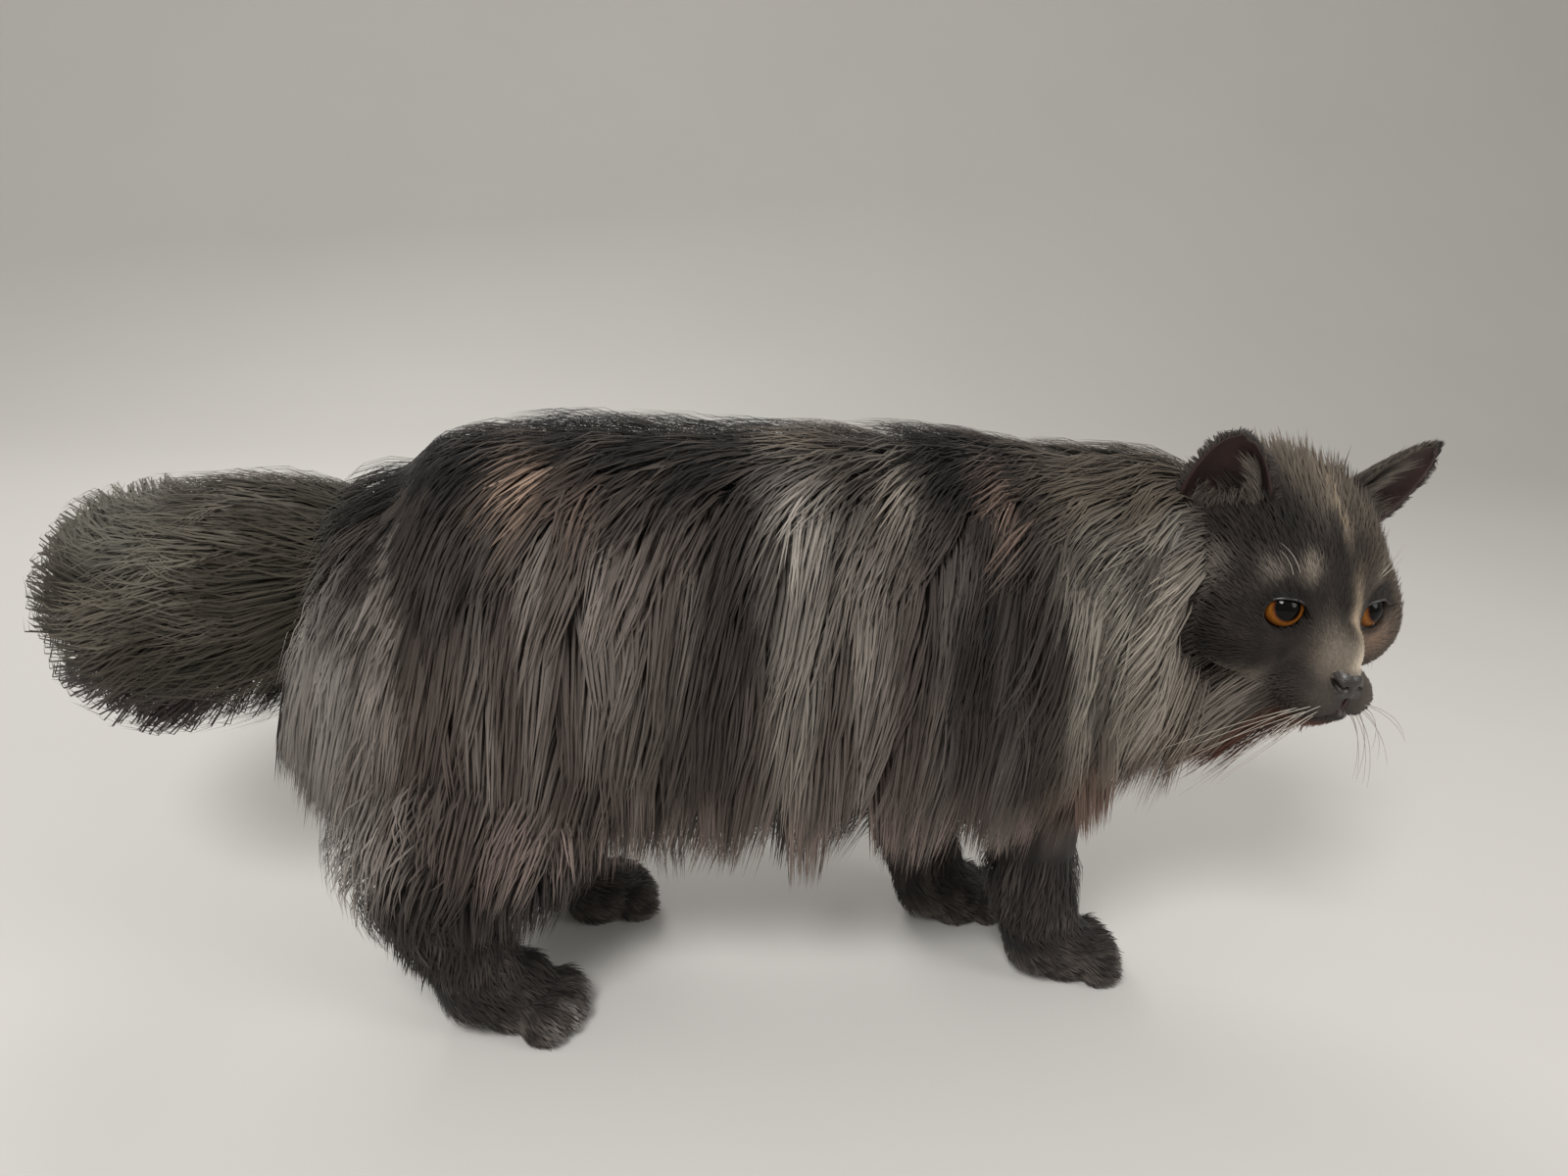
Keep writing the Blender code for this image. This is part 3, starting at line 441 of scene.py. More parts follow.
def head_distance(points):
    """The head's skin: the solids' forms less the depth of the face's fur, with lips and nostrils."""
    skull = off_skull(points)
    nose = blended(points, NOSE_FORMS, NOSE_BLEND)
    joined = -NOSE_BLEND * np.log(np.exp(-skull / NOSE_BLEND) + np.exp(-nose / NOSE_BLEND) + 1e-30)
    forward, left, up = points.T
    side = np.abs(left)
    # Short hair on the muzzle, longer towards the crown and cheeks.
    from_nose = np.linalg.norm(points - NOSE_TIP, axis=1)
    cheek = smooth(forward, 26, 2) * smooth(up, 24, 0) * smooth(side, 16, 34)
    fur = 0.4 + 3.2 * smooth(from_nose, 14, 60) + 5.0 * cheek
    lip_depth, lip_width = 1.7, 1.1
    lips = lip_distance(side, up, 1.2) / lip_width
    groove = lip_depth * np.exp(-(lips**2)) * smooth(forward, 34, 42)
    # A nostril is a comma: a round hole with a slit that turns outwards.
    nostril_depth = 2.6
    hole = np.hypot(side - 3.2, up + 19.2) / 1.25
    slit = line_distance(side, up, NOSTRIL_SLIT) / 0.7
    nostril = nostril_depth * np.exp(-(np.minimum(hole, slit) ** 2)) * smooth(forward, 50, 53)
    # The stop is the dip between the eyes.
    stop = 1.6 * np.exp(-(((forward - 41) / 6) ** 2) - ((up - 6) / 5) ** 2 - (left / 7) ** 2)
    return joined + fur + groove + nostril + stop


def skin_on_rays(rays):
    """The points where rays from the head's middle leave its skin, found by halving."""
    low, high = np.zeros(len(rays)), np.full(len(rays), 90.0)
    for _ in range(22):
        middle = (low + high) / 2
        inside = head_distance(rays * middle[:, None]) < 0
        low, high = np.where(inside, middle, low), np.where(inside, high, middle)
    return rays * low[:, None]


def head_shell(name, around, rings):
    """The head's skin as a ball, with one pole on the muzzle, where its rings stand closer."""
    drop = np.radians(20)
    crowding = 1.6
    pole = np.array((np.cos(drop), 0, -np.sin(drop)))
    down = np.array((np.sin(drop), 0, np.cos(drop)))
    left = np.array((0, 1.0, 0))
    rays = [pole]
    for k in range(1, rings):
        polar = np.pi * (k / rings) ** crowding
        turn = 2 * np.pi * np.arange(around)[:, None] / around
        rays += list(pole * np.cos(polar) + (left * np.cos(turn) + down * np.sin(turn)) * np.sin(polar))
    verts = skin_on_rays(np.array(rays + [-pole]))
    return new_mesh(name, stand(from_head(verts)), ball_faces(rings, around))


EYE_RADIUS = 11.0
EYE_SPREAD = 18
LID_RADIUS = 12.4
SOCKET_GAP = 0.1
LID_HALF_WIDTH, LID_HALF_HEIGHT = 10.2, 8.6


def eye_axes(side):
    """The rotation whose first axis looks out of an eye."""
    return HEAD_AXES @ rotation("Z", side * EYE_SPREAD)


def eye_ball(name, side, radius):
    return ball(name, eye_middle(side), (radius,) * 3, eye_axes(side), 48, 32)


def lid_edge(side, count):
    """The edge between the lids: a round eye with its inner corner drawn to a point."""
    a = 2 * np.pi * np.arange(count) / count
    across, rise = LID_HALF_WIDTH * np.cos(a), LID_HALF_HEIGHT * np.sin(a)
    inner = np.maximum(0.0, -side * np.cos(a)) ** 6
    across = across - side * 2.6 * inner
    rise = rise - 2.0 * inner
    # The upper lid hangs a little over the iris.
    rise = np.where(rise > 0, rise * 0.86, rise)
    return across, rise


def lid_cutter(name, side):
    """A plug that cuts the opening between the lids, a little wider in front than behind."""
    count, flare = 48, 0.012
    across, rise = lid_edge(side, count)
    verts = []
    for reach in (3.0, 22.0):
        spread = 1 + flare * (reach - EYE_RADIUS)
        rows = np.column_stack((np.full(count, reach), across * spread, rise * spread))
        verts += list(eye_middle(side) + rows @ eye_axes(side).T)
    ends = [tuple(range(count))[::-1], tuple(range(count, 2 * count))]
    return new_mesh(name, stand(verts), ends + grid_faces(2, count))


# The ears stand a little outwards, small for the breed, with rounded tips.
EAR_ROOT = np.array((-15.0, 37.0, 33.0))
EAR_TIP = np.array((1.0, 52.5, 75.0))
EAR_WIDTH = 21
EAR_DEPTH_SHARE = 0.62
EAR_HALF_OPEN = np.radians(88)


def ear_frame(side):
    """Root of an ear in the cat's frame, and its directions: along it, out of its mouth, and across it."""
    mirror = np.array((1, side, 1))
    root, tip = from_head(EAR_ROOT * mirror), from_head(EAR_TIP * mirror)
    along = unit(tip - root)
    # The far ear is pricked further forward than the near one.
    opening = (0.75, -0.55, -0.3) if side < 0 else (0.95, 0.1, -0.3)
    across = unit(np.cross(along, HEAD_AXES @ opening))
    return root, along, np.cross(across, along), across, float(np.linalg.norm(tip - root))


def ear_half_width(t):
    """Half an ear's width at t, from its root to its rounded tip."""
    return EAR_WIDTH * (1 - np.clip(t, 0, 1) ** 1.9) ** 0.62


def ear_place(side, t, a, inner):
    """Points of an ear's cup: t from its root to its tip, a from edge to edge, inner 1 on the inside."""
    root, along, mouth, across, height = ear_frame(side)
    sunk = 9.0
    t, a = np.asarray(t, float)[:, None], np.asarray(a, float)[:, None]
    width = ear_half_width(t) + 1.0
    depth = EAR_DEPTH_SHARE * width
    wall = np.minimum(2.4 - 1.4 * t, 0.5 * depth)
    cup = np.minimum(1.0, 0.15 + 2.2 * t)
    w = width - inner * wall
    d = (depth - inner * wall) * (cup if inner else 1.0)
    # The ear bows forward between its root, which is sunk in the head, and its tip.
    middle = root + along * ((height + sunk) * t - sunk) + mouth * (6 * t * (1 - t))
    return middle + across * np.sin(a) * w - mouth * np.cos(a) * d


def ear(name, side):
    """An ear as a closed cup with a thin wall."""
    arc, levels = 28, 26
    verts = []
    for k in range(levels):
        t = np.full(arc + 1, k / (levels - 1))
        a = np.linspace(-EAR_HALF_OPEN, EAR_HALF_OPEN, arc + 1)
        verts += list(ear_place(side, t, a, 0))
        verts += list(ear_place(side, t, 0.95 * a[::-1], 1))
    count = 2 * (arc + 1)
    faces = grid_faces(levels, count)
    for first in (0, (levels - 1) * count):
        for j in range(arc):
            a, b = first + j, first + j + 1
            faces.append((a, b, first + count - 2 - j, first + count - 1 - j))
    return new_mesh(name, stand(verts), faces)


def boolean(obj, cutters, operation):
    """Joins closed pieces to an object, or cuts them away, and removes them."""
    group = bpy.data.collections.new("pieces")
    bpy.context.scene.collection.children.link(group)
    for piece in cutters:
        bpy.context.scene.collection.objects.unlink(piece)
        group.objects.link(piece)
    step = obj.modifiers.new("boolean", "BOOLEAN")
    step.operation = operation
    step.operand_type = "COLLECTION"
    step.collection = group
    step.solver = "MANIFOLD"
    take_shape(obj)
    for piece in cutters:
        bpy.data.objects.remove(piece, do_unlink=True)
    bpy.data.collections.remove(group)


SIDES = {"right": -1, "left": 1}
lids = [eye_ball("lids", s, LID_RADIUS) for s in SIDES.values()]
ears = [ear("ear", s) for s in SIDES.values()]
skin = body_form
skin.name = "skin"
boolean(skin, [head_shell("head", 220, 150)] + lids + ears, "UNION")
sockets = [eye_ball("socket", s, EYE_RADIUS + SOCKET_GAP) for s in SIDES.values()]
boolean(skin, [lid_cutter("lid_cut", s) for s in SIDES.values()] + sockets, "DIFFERENCE")

# The coat's colours.
# A dilute smoke tortoiseshell: dark hair with silver roots in streaks, a pale ruff and a cream blaze.
# Skin and hair take the same markings, worked out from a place on the body and smooth seeded noise.


def linear(colour):
    """An sRGB hex colour as linear red, green and blue."""
    srgb = np.array([int(colour[i : i + 2], 16) / 255 for i in (1, 3, 5)])
    return np.where(srgb < 0.04045, srgb / 12.92, ((srgb + 0.055) / 1.055) ** 2.4)


def soft_noise(points, grain, seed):
    """Smooth noise between 0 and 1. Grain is the size of its patches along each axis, in millimetres."""
    chance = np.random.default_rng(seed)
    scaled = np.asarray(points, float) / np.array(grain, float)
    total = np.zeros(len(scaled))
    for _ in range(14):
        wave = unit(chance.normal(size=3)) * chance.uniform(0.7, 1.6) * np.pi
        total += np.sin(scaled @ wave + chance.uniform(0, 2 * np.pi))
    return np.clip(0.5 + total / 9, 0, 1)


def mix(first, second, share):
    return first + (second - first) * np.asarray(share)[:, None]


def painted(colour, layers):
    """Paints layers over a colour in turn. Each is a hex colour and how much of it each point takes."""
    for mark, share in layers:
        colour = mix(colour, linear(mark), np.clip(share, 0, 1))
    return colour


def face_marks(local, colour):
    """The marks of the face, on points of the head's frame."""
    forward, left, up = local.T
    aside = np.abs(left)

    def spot(place, size):
        q = (local - np.array(place)) / np.array(size)
        return np.exp(-np.sum(q * q, axis=1))

    def eye_ring(side):
        gap = np.linalg.norm(local - EYE * (1, side, 1), axis=1)
        return smooth(gap, 16, 13) * smooth(forward, 18, 26)

    mottle = soft_noise(local, (7, 7, 9), 31)
    cheek = smooth(forward, 20, 2) * smooth(up, 26, 10) * smooth(aside, 18, 34)
    pads = spot((48, 10, -28), (12, 8, 7)) + spot((48, -10, -28), (12, 8, 7))
    lips = lip_distance(aside, up)
    layers = [
        ("#5c544c", 0.9 * smooth(forward, -8, -26)),
        ("#352e29", 0.5 * smooth(mottle, 0.4, 0.8)),
        # Pale cheeks where the face meets the ruff, silver above and warmer towards the jaw.
        ("#7d746a", 0.9 * cheek),
        ("#7e6f64", 0.8 * cheek * smooth(up, -18, -36)),
        ("#847a70", 0.9 * spot((20, -30, -34), (17, 14, 9))),
        # The dark stripe from each eye's outer corner towards the jaw.
        ("#1c1815", 0.85 * spot((22, -36, -16), (12, 10, 6))),
        ("#1c1815", 0.85 * spot((22, 36, -16), (12, 10, 6))),
        # Beige crown, with a dark patch from the near ear to the eye.
        ("#645b50", 0.75 * smooth(up, 34, 48) * smooth(np.abs(left - 4), 26, 14)),
        ("#1d1915", 0.9 * spot((14, -24, 36), (22, 12, 13))),
        # The cream streak down the middle of the forehead, and the blaze down the nose.
        ("#8f806d", 0.8 * smooth(mottle, 0.2, 0.55) * spot((18, 1, 46), (20, 3.6, 12))),
        ("#1d1915", 0.75 * spot((38, -1, 14), (14, 3.5, 15))),
        ("#ab9880", 0.9 * spot((42, 6, 4), (16, 3.4, 17))),
        ("#d8c8b2", 0.95 * spot((51, 4, -9), (9, 5.5, 7))),
        ("#8d8173", 0.85 * spot((46, -6, -9), (10, 6, 11))),
        ("#a98672", 0.9 * spot((38, 26, -8), (13, 10, 9))),
        # The far half of the face has a beige patch from the brow to the cheek.
        ("#605448", 0.6 * smooth(left, 4, 22) * smooth(forward, 0, 20)),
        # Two pale spots over the near eye and one over the far eye.
        ("#7d7368", 0.9 * spot((31, -17, 24), (8, 4, 6))),
        ("#6f665d", 0.85 * spot((27, -30, 20), (8, 5, 5))),
        ("#796f63", 0.8 * spot((30, 22, 22), (8, 5, 6))),
        # Dark rings round the eyes.
        ("#16120f", 0.85 * eye_ring(-1)),
        ("#16120f", 0.85 * eye_ring(1)),
        # The whisker pads are grey, the chin a red brown darkened with painted shade under the jaw, and the
        # lips' edges dark.
        ("#564e45", 0.75 * pads),
        ("#5c3a2f", 0.9 * smooth(up, -37, -42) * smooth(forward, 2, 20)),
        ("#220f0b", 0.9 * np.exp(-((lips / 1.3) ** 2)) * smooth(forward, 36, 42)),
    ]
    return painted(colour, layers)


# The marks of the flank and back: middle x and z, half width and height, colour and strength.
BODY_MARKS = [
    (-14, 257, 9, 13, "#98806f", 0.85),
    (12, 252, 9, 11, "#6a584d", 0.45),
    (103, 240, 13, 34, "#9c948b", 1.0),
    (104, 172, 10, 44, "#898279", 0.8),
    (129, 214, 14, 30, "#726b63", 0.6),
    (148, 256, 7, 22, "#837a70", 0.75),
    (196, 256, 4.5, 17, "#927a6d", 0.7),
    (107, 280, 16, 8, "#73685b", 0.75),
    (142, 271, 13, 9, "#6c645b", 0.7),
    (28, 190, 28, 44, "#6b625c", 0.6),
    (-34, 226, 20, 26, "#231d1b", 0.75),
    (76, 205, 17, 50, "#201b18", 0.75),
    (188, 190, 31, 60, "#1c1815", 0.88),
    (-24, 100, 20, 26, "#453a36", 0.7),
    (256, 122, 10, 18, "#816f64", 0.6),
]


def tail_marks(points):
    """The tail is an olive brown grey, with a pale crest, and darker plum brown below, where painted shade
    darkens its underside.
    """
    x, _, z = points.T
    cloud = soft_noise(points, (26, 26, 30), 7)
    layers = [
        ("#585248", smooth(cloud, 0.35, 0.75)),
        # Painted shade: the tail's underside is darkened to plum brown.
        ("#362d2c", smooth(z, 165, 135)),
        ("#666359", 0.8 * smooth(z, 198, 218) * smooth(x, -140, -178)),
    ]
    return painted(linear("#37332a")[None], layers)


def ruff_marks(points):
    """The ruff is pale silver, a darker warm brown on the chest that is partly painted shade under the head,
    and beige grey on the nape.
    """
    z = points[:, 2]
    cloud = soft_noise(points, (7, 16, 50), 8)
    layers = [
        ("#4e4841", smooth(cloud, 0.35, 0.75)),
        # The chest's warm brown is darkened with painted shade under the head.
        ("#635046", smooth(z, 165, 125)),
        ("#524a40", smooth(z, 240, 262)),
    ]
    return painted(linear("#756f66")[None], layers)


def markings(points):
    """The linear colour of the coat at places on the body, in the cat's frame."""
    points = np.asarray(points, float)
    x, y, z = points.T
    row = along_line(TORSO_COAT, np.interp(x, [s[0] for s in TORSO_COAT], range(len(TORSO_COAT))))
    side = np.abs(np.arctan2(np.abs(y - row[:, 1]), z - row[:, 2] - 14))
    broad = soft_noise(points, (62, 60, 80), 1)
    streak = soft_noise(points, (13, 40, 120), 2)
    fine = soft_noise(points, (5, 14, 60), 3)
    fleck = soft_noise(points, (11, 9, 30), 4)
    leg_fleck = soft_noise(points, (7, 7, 9), 5)
    toe_fleck = soft_noise(points, (5, 5, 6), 6)
    spine = smooth(side, 1.15, 0.5)
    pale = smooth(streak, 0.5, 0.8) * (0.35 + 0.65 * fine) * smooth(side, 0.5, 1.2)
    warm = smooth(z, 150, 105) * smooth(fine, 0.2, 0.8) * smooth(x, -40, 0)
    rump = smooth(x, -62, -92) * smooth(z, 272, 240)
    breech = smooth(x, -62, -86) * smooth(z, 180, 130) * smooth(z, 50, 74)
    leg = smooth(z, 102, 76) * (1 - breech)
    # The far side has the near side's marks, a little further forward.
    along = x - np.where(y > 0, 28, 0)

    def flank_mark(place_x, place_z, wide, tall, strength):
        share = np.exp(-(((along - place_x) / wide) ** 2) - ((z - place_z) / tall) ** 2)
        return strength * share * (0.55 + 0.9 * fine)

    layers = [
        ("#342d28", smooth(broad, 0.3, 0.7)),
        # Silver hair shows in streaks that hang down the flanks.
        ("#837a73", 0.62 * pale),
        # The saddle is the darkest, with tan grey flecks.
        ("#0d0b0a", 0.95 * spine),
        ("#4d443c", 0.6 * spine * smooth(fleck, 0.6, 0.85)),
        *[(mark, flank_mark(*place, strength)) for *place, mark, strength in BODY_MARKS],
        # The fringe under the belly is a warm, pinkish grey, and the rump and breeches are silver.
        ("#87766f", 0.75 * warm),
        ("#857f79", 0.85 * np.maximum(rump, breech) * (0.6 + 0.7 * fine)),
        # The legs are a dense dark blue grey, paler on the toes' edges.
        ("#25211f", 0.95 * leg),
        ("#4c4640", 0.5 * leg * smooth(leg_fleck, 0.55, 0.85)),
        ("#686058", 0.7 * smooth(z, 24, 6) * smooth(toe_fleck, 0.3, 0.7)),
    ]
    colour = painted(linear("#49403b")[None], layers)
    colour = mix(colour, tail_marks(points), smooth(x, -106, -126))
    ruff = smooth(x - 0.12 * (200 - z), 212, 236) * smooth(z, 92, 112)
    colour = mix(colour, ruff_marks(points), ruff)
    # The head's own marks take over on the head.
    local = to_head(points)
    head = smooth(off_skull(local), 7, 1)
    face = face_marks(local, np.tile(linear("#221d1a"), (len(points), 1)))
    return mix(colour, face, head)


# The skin.
# One surface under the whole coat, seen only on the face, the ears and between the toes.
# It takes the coat's colours, darkened with painted shade that is deepest under the long coat, and the nose,
# the lips and the inner ears are bare.


def add(tree, kind, settings=None, **links):
    """Adds a node. Settings are its properties. Links are its inputs by name, or by number as in i0."""
    node = tree.nodes.new(kind)
    for key, value in (settings or {}).items():
        setattr(node, key, value)
    for key, value in links.items():
        numbered = key[0] == "i" and key[1:].isdigit()
        socket = node.inputs[int(key[1:]) if numbered else key.replace("_", " ")]
        if isinstance(value, bpy.types.NodeSocket):
            tree.links.new(value, socket)
        else:
            socket.default_value = value
    return node


def opaque(colour):
    """A hex colour as the four linear numbers of a colour socket."""
    return (*linear(colour), 1)


def new_material(name):
    """A material with its nodes and its shader."""
    made = bpy.data.materials.new(name)
    made.use_nodes = True
    return made, made.node_tree, made.node_tree.nodes["Principled BSDF"]


def fur_material(name, roughness, sheen, hair_mm, contrast):
    """Hair: a soft broken gloss, paler where light grazes it, with fine strands drawn along each tuft."""
    made, tree, shader = new_material(name)
    shader.inputs["Roughness"].default_value = roughness
    shader.inputs["Specular IOR Level"].default_value = 0.25
    shader.inputs["Sheen Weight"].default_value = sheen
    shader.inputs["Sheen Roughness"].default_value = 0.45
    coat = add(tree, "ShaderNodeAttribute", {"attribute_name": "coat"})
    strand = add(tree, "ShaderNodeAttribute", {"attribute_name": "strand"})
    # Real hair is about 0.05 mm thick. It is drawn some ten times as coarse so that it shows, and its
    # streaks are many times as long as they are wide.
    scale = (1 / hair_mm, 0.06 / hair_mm, 1.0)
    stretched = add(tree, "ShaderNodeMapping", Vector=strand.outputs["Vector"], Scale=scale)
    fine = add(tree, "ShaderNodeTexNoise", Vector=stretched.outputs[0], Scale=1.0, Detail=2.0, Roughness=0.6)
    tone = add(tree, "ShaderNodeMapRange", Value=fine.outputs[0], From_Min=0.25, From_Max=0.75)
    tone.inputs["To Min"].default_value = 1 - contrast
    tone.inputs["To Max"].default_value = 1 + contrast
    scaling = {"operation": "SCALE"}
    shaded = add(tree, "ShaderNodeVectorMath", scaling, i0=coat.outputs["Color"], Scale=tone.outputs[0])
    tree.links.new(shaded.outputs[0], shader.inputs["Base Color"])
    bump = add(tree, "ShaderNodeBump", Strength=0.35, Distance=hair_mm * MM * 0.6, Height=fine.outputs[0])
    tree.links.new(bump.outputs[0], shader.inputs["Normal"])
    return made


def bare_material(name, colour, dark, roughness, coat, grain_mm, bump_mm):
    """Bare skin: matt to moist, pebbled or finely creased, mottled between two close colours."""
    made, tree, shader = new_material(name)
    shader.inputs["Roughness"].default_value = roughness
    shader.inputs["Coat Weight"].default_value = coat
    shader.inputs["Coat Roughness"].default_value = 0.25
    place = add(tree, "ShaderNodeTexCoord").outputs["Object"]
    cells = add(tree, "ShaderNodeTexVoronoi", Vector=place, Scale=1 / (grain_mm * MM))
    blotch = add(tree, "ShaderNodeTexNoise", Vector=place, Scale=1 / (6 * grain_mm * MM), Detail=3.0)
    blend = {"data_type": "RGBA"}
    tint = add(tree, "ShaderNodeMix", blend, i0=blotch.outputs[0], i6=opaque(colour), i7=opaque(dark))
    tree.links.new(tint.outputs[2], shader.inputs["Base Color"])
    bump = add(tree, "ShaderNodeBump", Strength=0.6, Distance=bump_mm * MM, Height=cells.outputs[0])
    tree.links.new(bump.outputs[0], shader.inputs["Normal"])
    return made


def values_of(items, name, width=1, kind=float):
    """One property of all items of a mesh. A width over 1 gives a row of so many numbers for each."""
    found = np.zeros(len(items) * width, kind)
    items.foreach_get(name, found)
    return found.reshape(-1, width) if width > 1 else found


skin.data.shade_smooth()
places = from_stand(values_of(skin.data.vertices, "co", 3))
# The cat's weight presses its pads flat on the floor.
SOLE_SOFT, SOLE_LIFT = 1.3, 0.2
low = places[:, 2] < SOLE_SOFT + SOLE_LIFT
places[low, 2] = SOLE_LIFT + SOLE_SOFT * np.exp((places[low, 2] - SOLE_LIFT) / SOLE_SOFT - 1)
skin.data.vertices.foreach_set("co", stand(places).astype(np.float32).ravel())
skin.data.update()
# Painted shade: under deep fur the skin is darkened as if in the hair's shadow, and a little darkened on the
# head.
painted_shade = np.where(off_skull(to_head(places)) < 6, 0.9, 0.45)
for name in [a.name for a in skin.data.color_attributes]:
    skin.data.color_attributes.remove(skin.data.color_attributes[name])
tint = skin.data.color_attributes.new("coat", "FLOAT_COLOR", "POINT")
coloured = np.column_stack((markings(places) * painted_shade[:, None], np.ones(len(places))))
tint.data.foreach_set("color", coloured.ravel())
strand = skin.data.attributes.new("strand", "FLOAT_VECTOR", "POINT")
strand.data.foreach_set("vector", (places * (1.0, 1.0, 0.4)).ravel())

# The furred skin looks soft and dull, the nose leather moist and pebbled, the ears' lining matt and
# finely creased, and the lips wet.
FUR_PATCH, NOSE_PATCH, EAR_PATCH, LIP_PATCH = range(4)
skin.data.materials.clear()
for material in (
    fur_material("Short fur lying flat", 0.78, 0.08, 0.8, 0.25),
    bare_material("Nose leather", "#2a211c", "#191411", 0.42, 0.25, 0.7, 0.25),
    bare_material("Ear lining", "#4b3531", "#2c2120", 0.65, 0.0, 2.2, 0.2),
    bare_material("Lips", "#3a1c18", "#231210", 0.4, 0.3, 0.8, 0.1),
):
    skin.data.materials.append(material)
centres = from_stand(values_of(skin.data.polygons, "center", 3))
polygon_normals = values_of(skin.data.polygons, "normal", 3)
local = to_head(centres)
forward, left, up = local.T
bare = np.full(len(centres), FUR_PATCH, np.int32)
NOSE_BACK, NOSE_HALF_WIDTH, NOSE_FOOT, NOSE_TOP = 52.4, 7.4, -24.5, -12.6
nose = (forward > NOSE_BACK) & (np.abs(left) < NOSE_HALF_WIDTH) & (up > NOSE_FOOT) & (up < NOSE_TOP)
bare[nose] = NOSE_PATCH
LIP_EDGE, LIPS_BACK = 1.3, 40
bare[(lip_distance(np.abs(left), up) < LIP_EDGE) & (forward > LIPS_BACK)] = LIP_PATCH
proud = off_skull(local) > 1.5
for side in SIDES.values():
    root, along, mouth, across, height = ear_frame(side)
    offset = centres - root
    up_ear, out_ear, wide = offset @ along, offset @ mouth, offset @ across
    cup = EAR_DEPTH_SHARE * ear_half_width(up_ear / height)
    inside = out_ear > -cup * np.sqrt(np.clip(1 - (wide / EAR_WIDTH) ** 2, 0, 1)) * 0.86
    lining = inside & (polygon_normals @ mouth > 0.05) & (np.abs(wide) < EAR_WIDTH)
    bare[lining & (up_ear > 2) & (up_ear < height) & (out_ear < 16) & proud] = EAR_PATCH
skin.data.polygons.foreach_set("material_index", bare)

# The skin is unwrapped by its own shape. Every tuft later takes its place on that map from its root.
for name in [u.name for u in skin.data.uv_layers]:
    skin.data.uv_layers.remove(skin.data.uv_layers[name])
skin.data.uv_layers.new(name="OFBake")
bpy.context.view_layer.objects.active = skin
skin.select_set(True)
bpy.ops.object.mode_set(mode="EDIT")
bpy.ops.mesh.select_all(action="SELECT")
bpy.ops.uv.smart_project(angle_limit=np.radians(66), island_margin=0.001)
bpy.ops.object.mode_set(mode="OBJECT")
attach(skin, "root")
FLESH = ["head", "ear_left", "ear_right", "neck", "torso", "tail_base", "tail_tip"]
FLESH += ["foreleg_left", "foreleg_right", "hindleg_left", "hindleg_right"]
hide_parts(*FLESH)

# How hair is made.
# Each tuft is a closed, three-sided sliver that tapers to a tip, laid along the coat over a path of points.
# A region's tufts are joined to a few meshes, and each mesh stays under 200,000 triangles.

skin.data.calc_loop_triangles()
skin_triangles = values_of(skin.data.loop_triangles, "vertices", 3, np.int32)
skin_loops = values_of(skin.data.loop_triangles, "loops", 3, np.int32)
triangle_uv = values_of(skin.data.uv_layers["OFBake"].data, "uv", 2)[skin_loops].mean(1)
skin_tree = BVHTree.FromPolygons([tuple(v) for v in places], [tuple(t) for t in skin_triangles])


def place_on_map(roots):
    """Where each root lies on the skin's own unwrap."""
    found = [skin_tree.find_nearest(tuple(p))[2] for p in roots]
    return triangle_uv[np.array(found)]


TRIANGLES_A_PIECE = 198000
UV_PATCH = 0.003
# A tuft's edges lie a little below its path and its ridge above it, as shares of half its width.
EDGE_LOW, RIDGE_HIGH = -0.12, 0.24
# Hair scatters light as the body under it does, so each tuft's normals lean to the coat's own.
NORMAL_LEAN = 0.5
NORMAL_SPREAD = 0.45
# No hair goes through the floor.
FLOOR_GAP = 0.4
coat_triangles = 0


def tuft_faces(rings):
    """The triangles of one tuft: a closed prism of three sides that ends in a point."""
    faces = [(2, 1, 0)]
    for k in range(0, 3 * (rings - 1), 3):
        for j in range(3):
            n = (j + 1) % 3
            faces += [(k + j, k + n, k + 3 + n), (k + j, k + 3 + n, k + 3 + j)]
    top = 3 * (rings - 1)
    faces += [(top + j, top + (j + 1) % 3, top + 3) for j in range(3)]
    return np.array(faces)


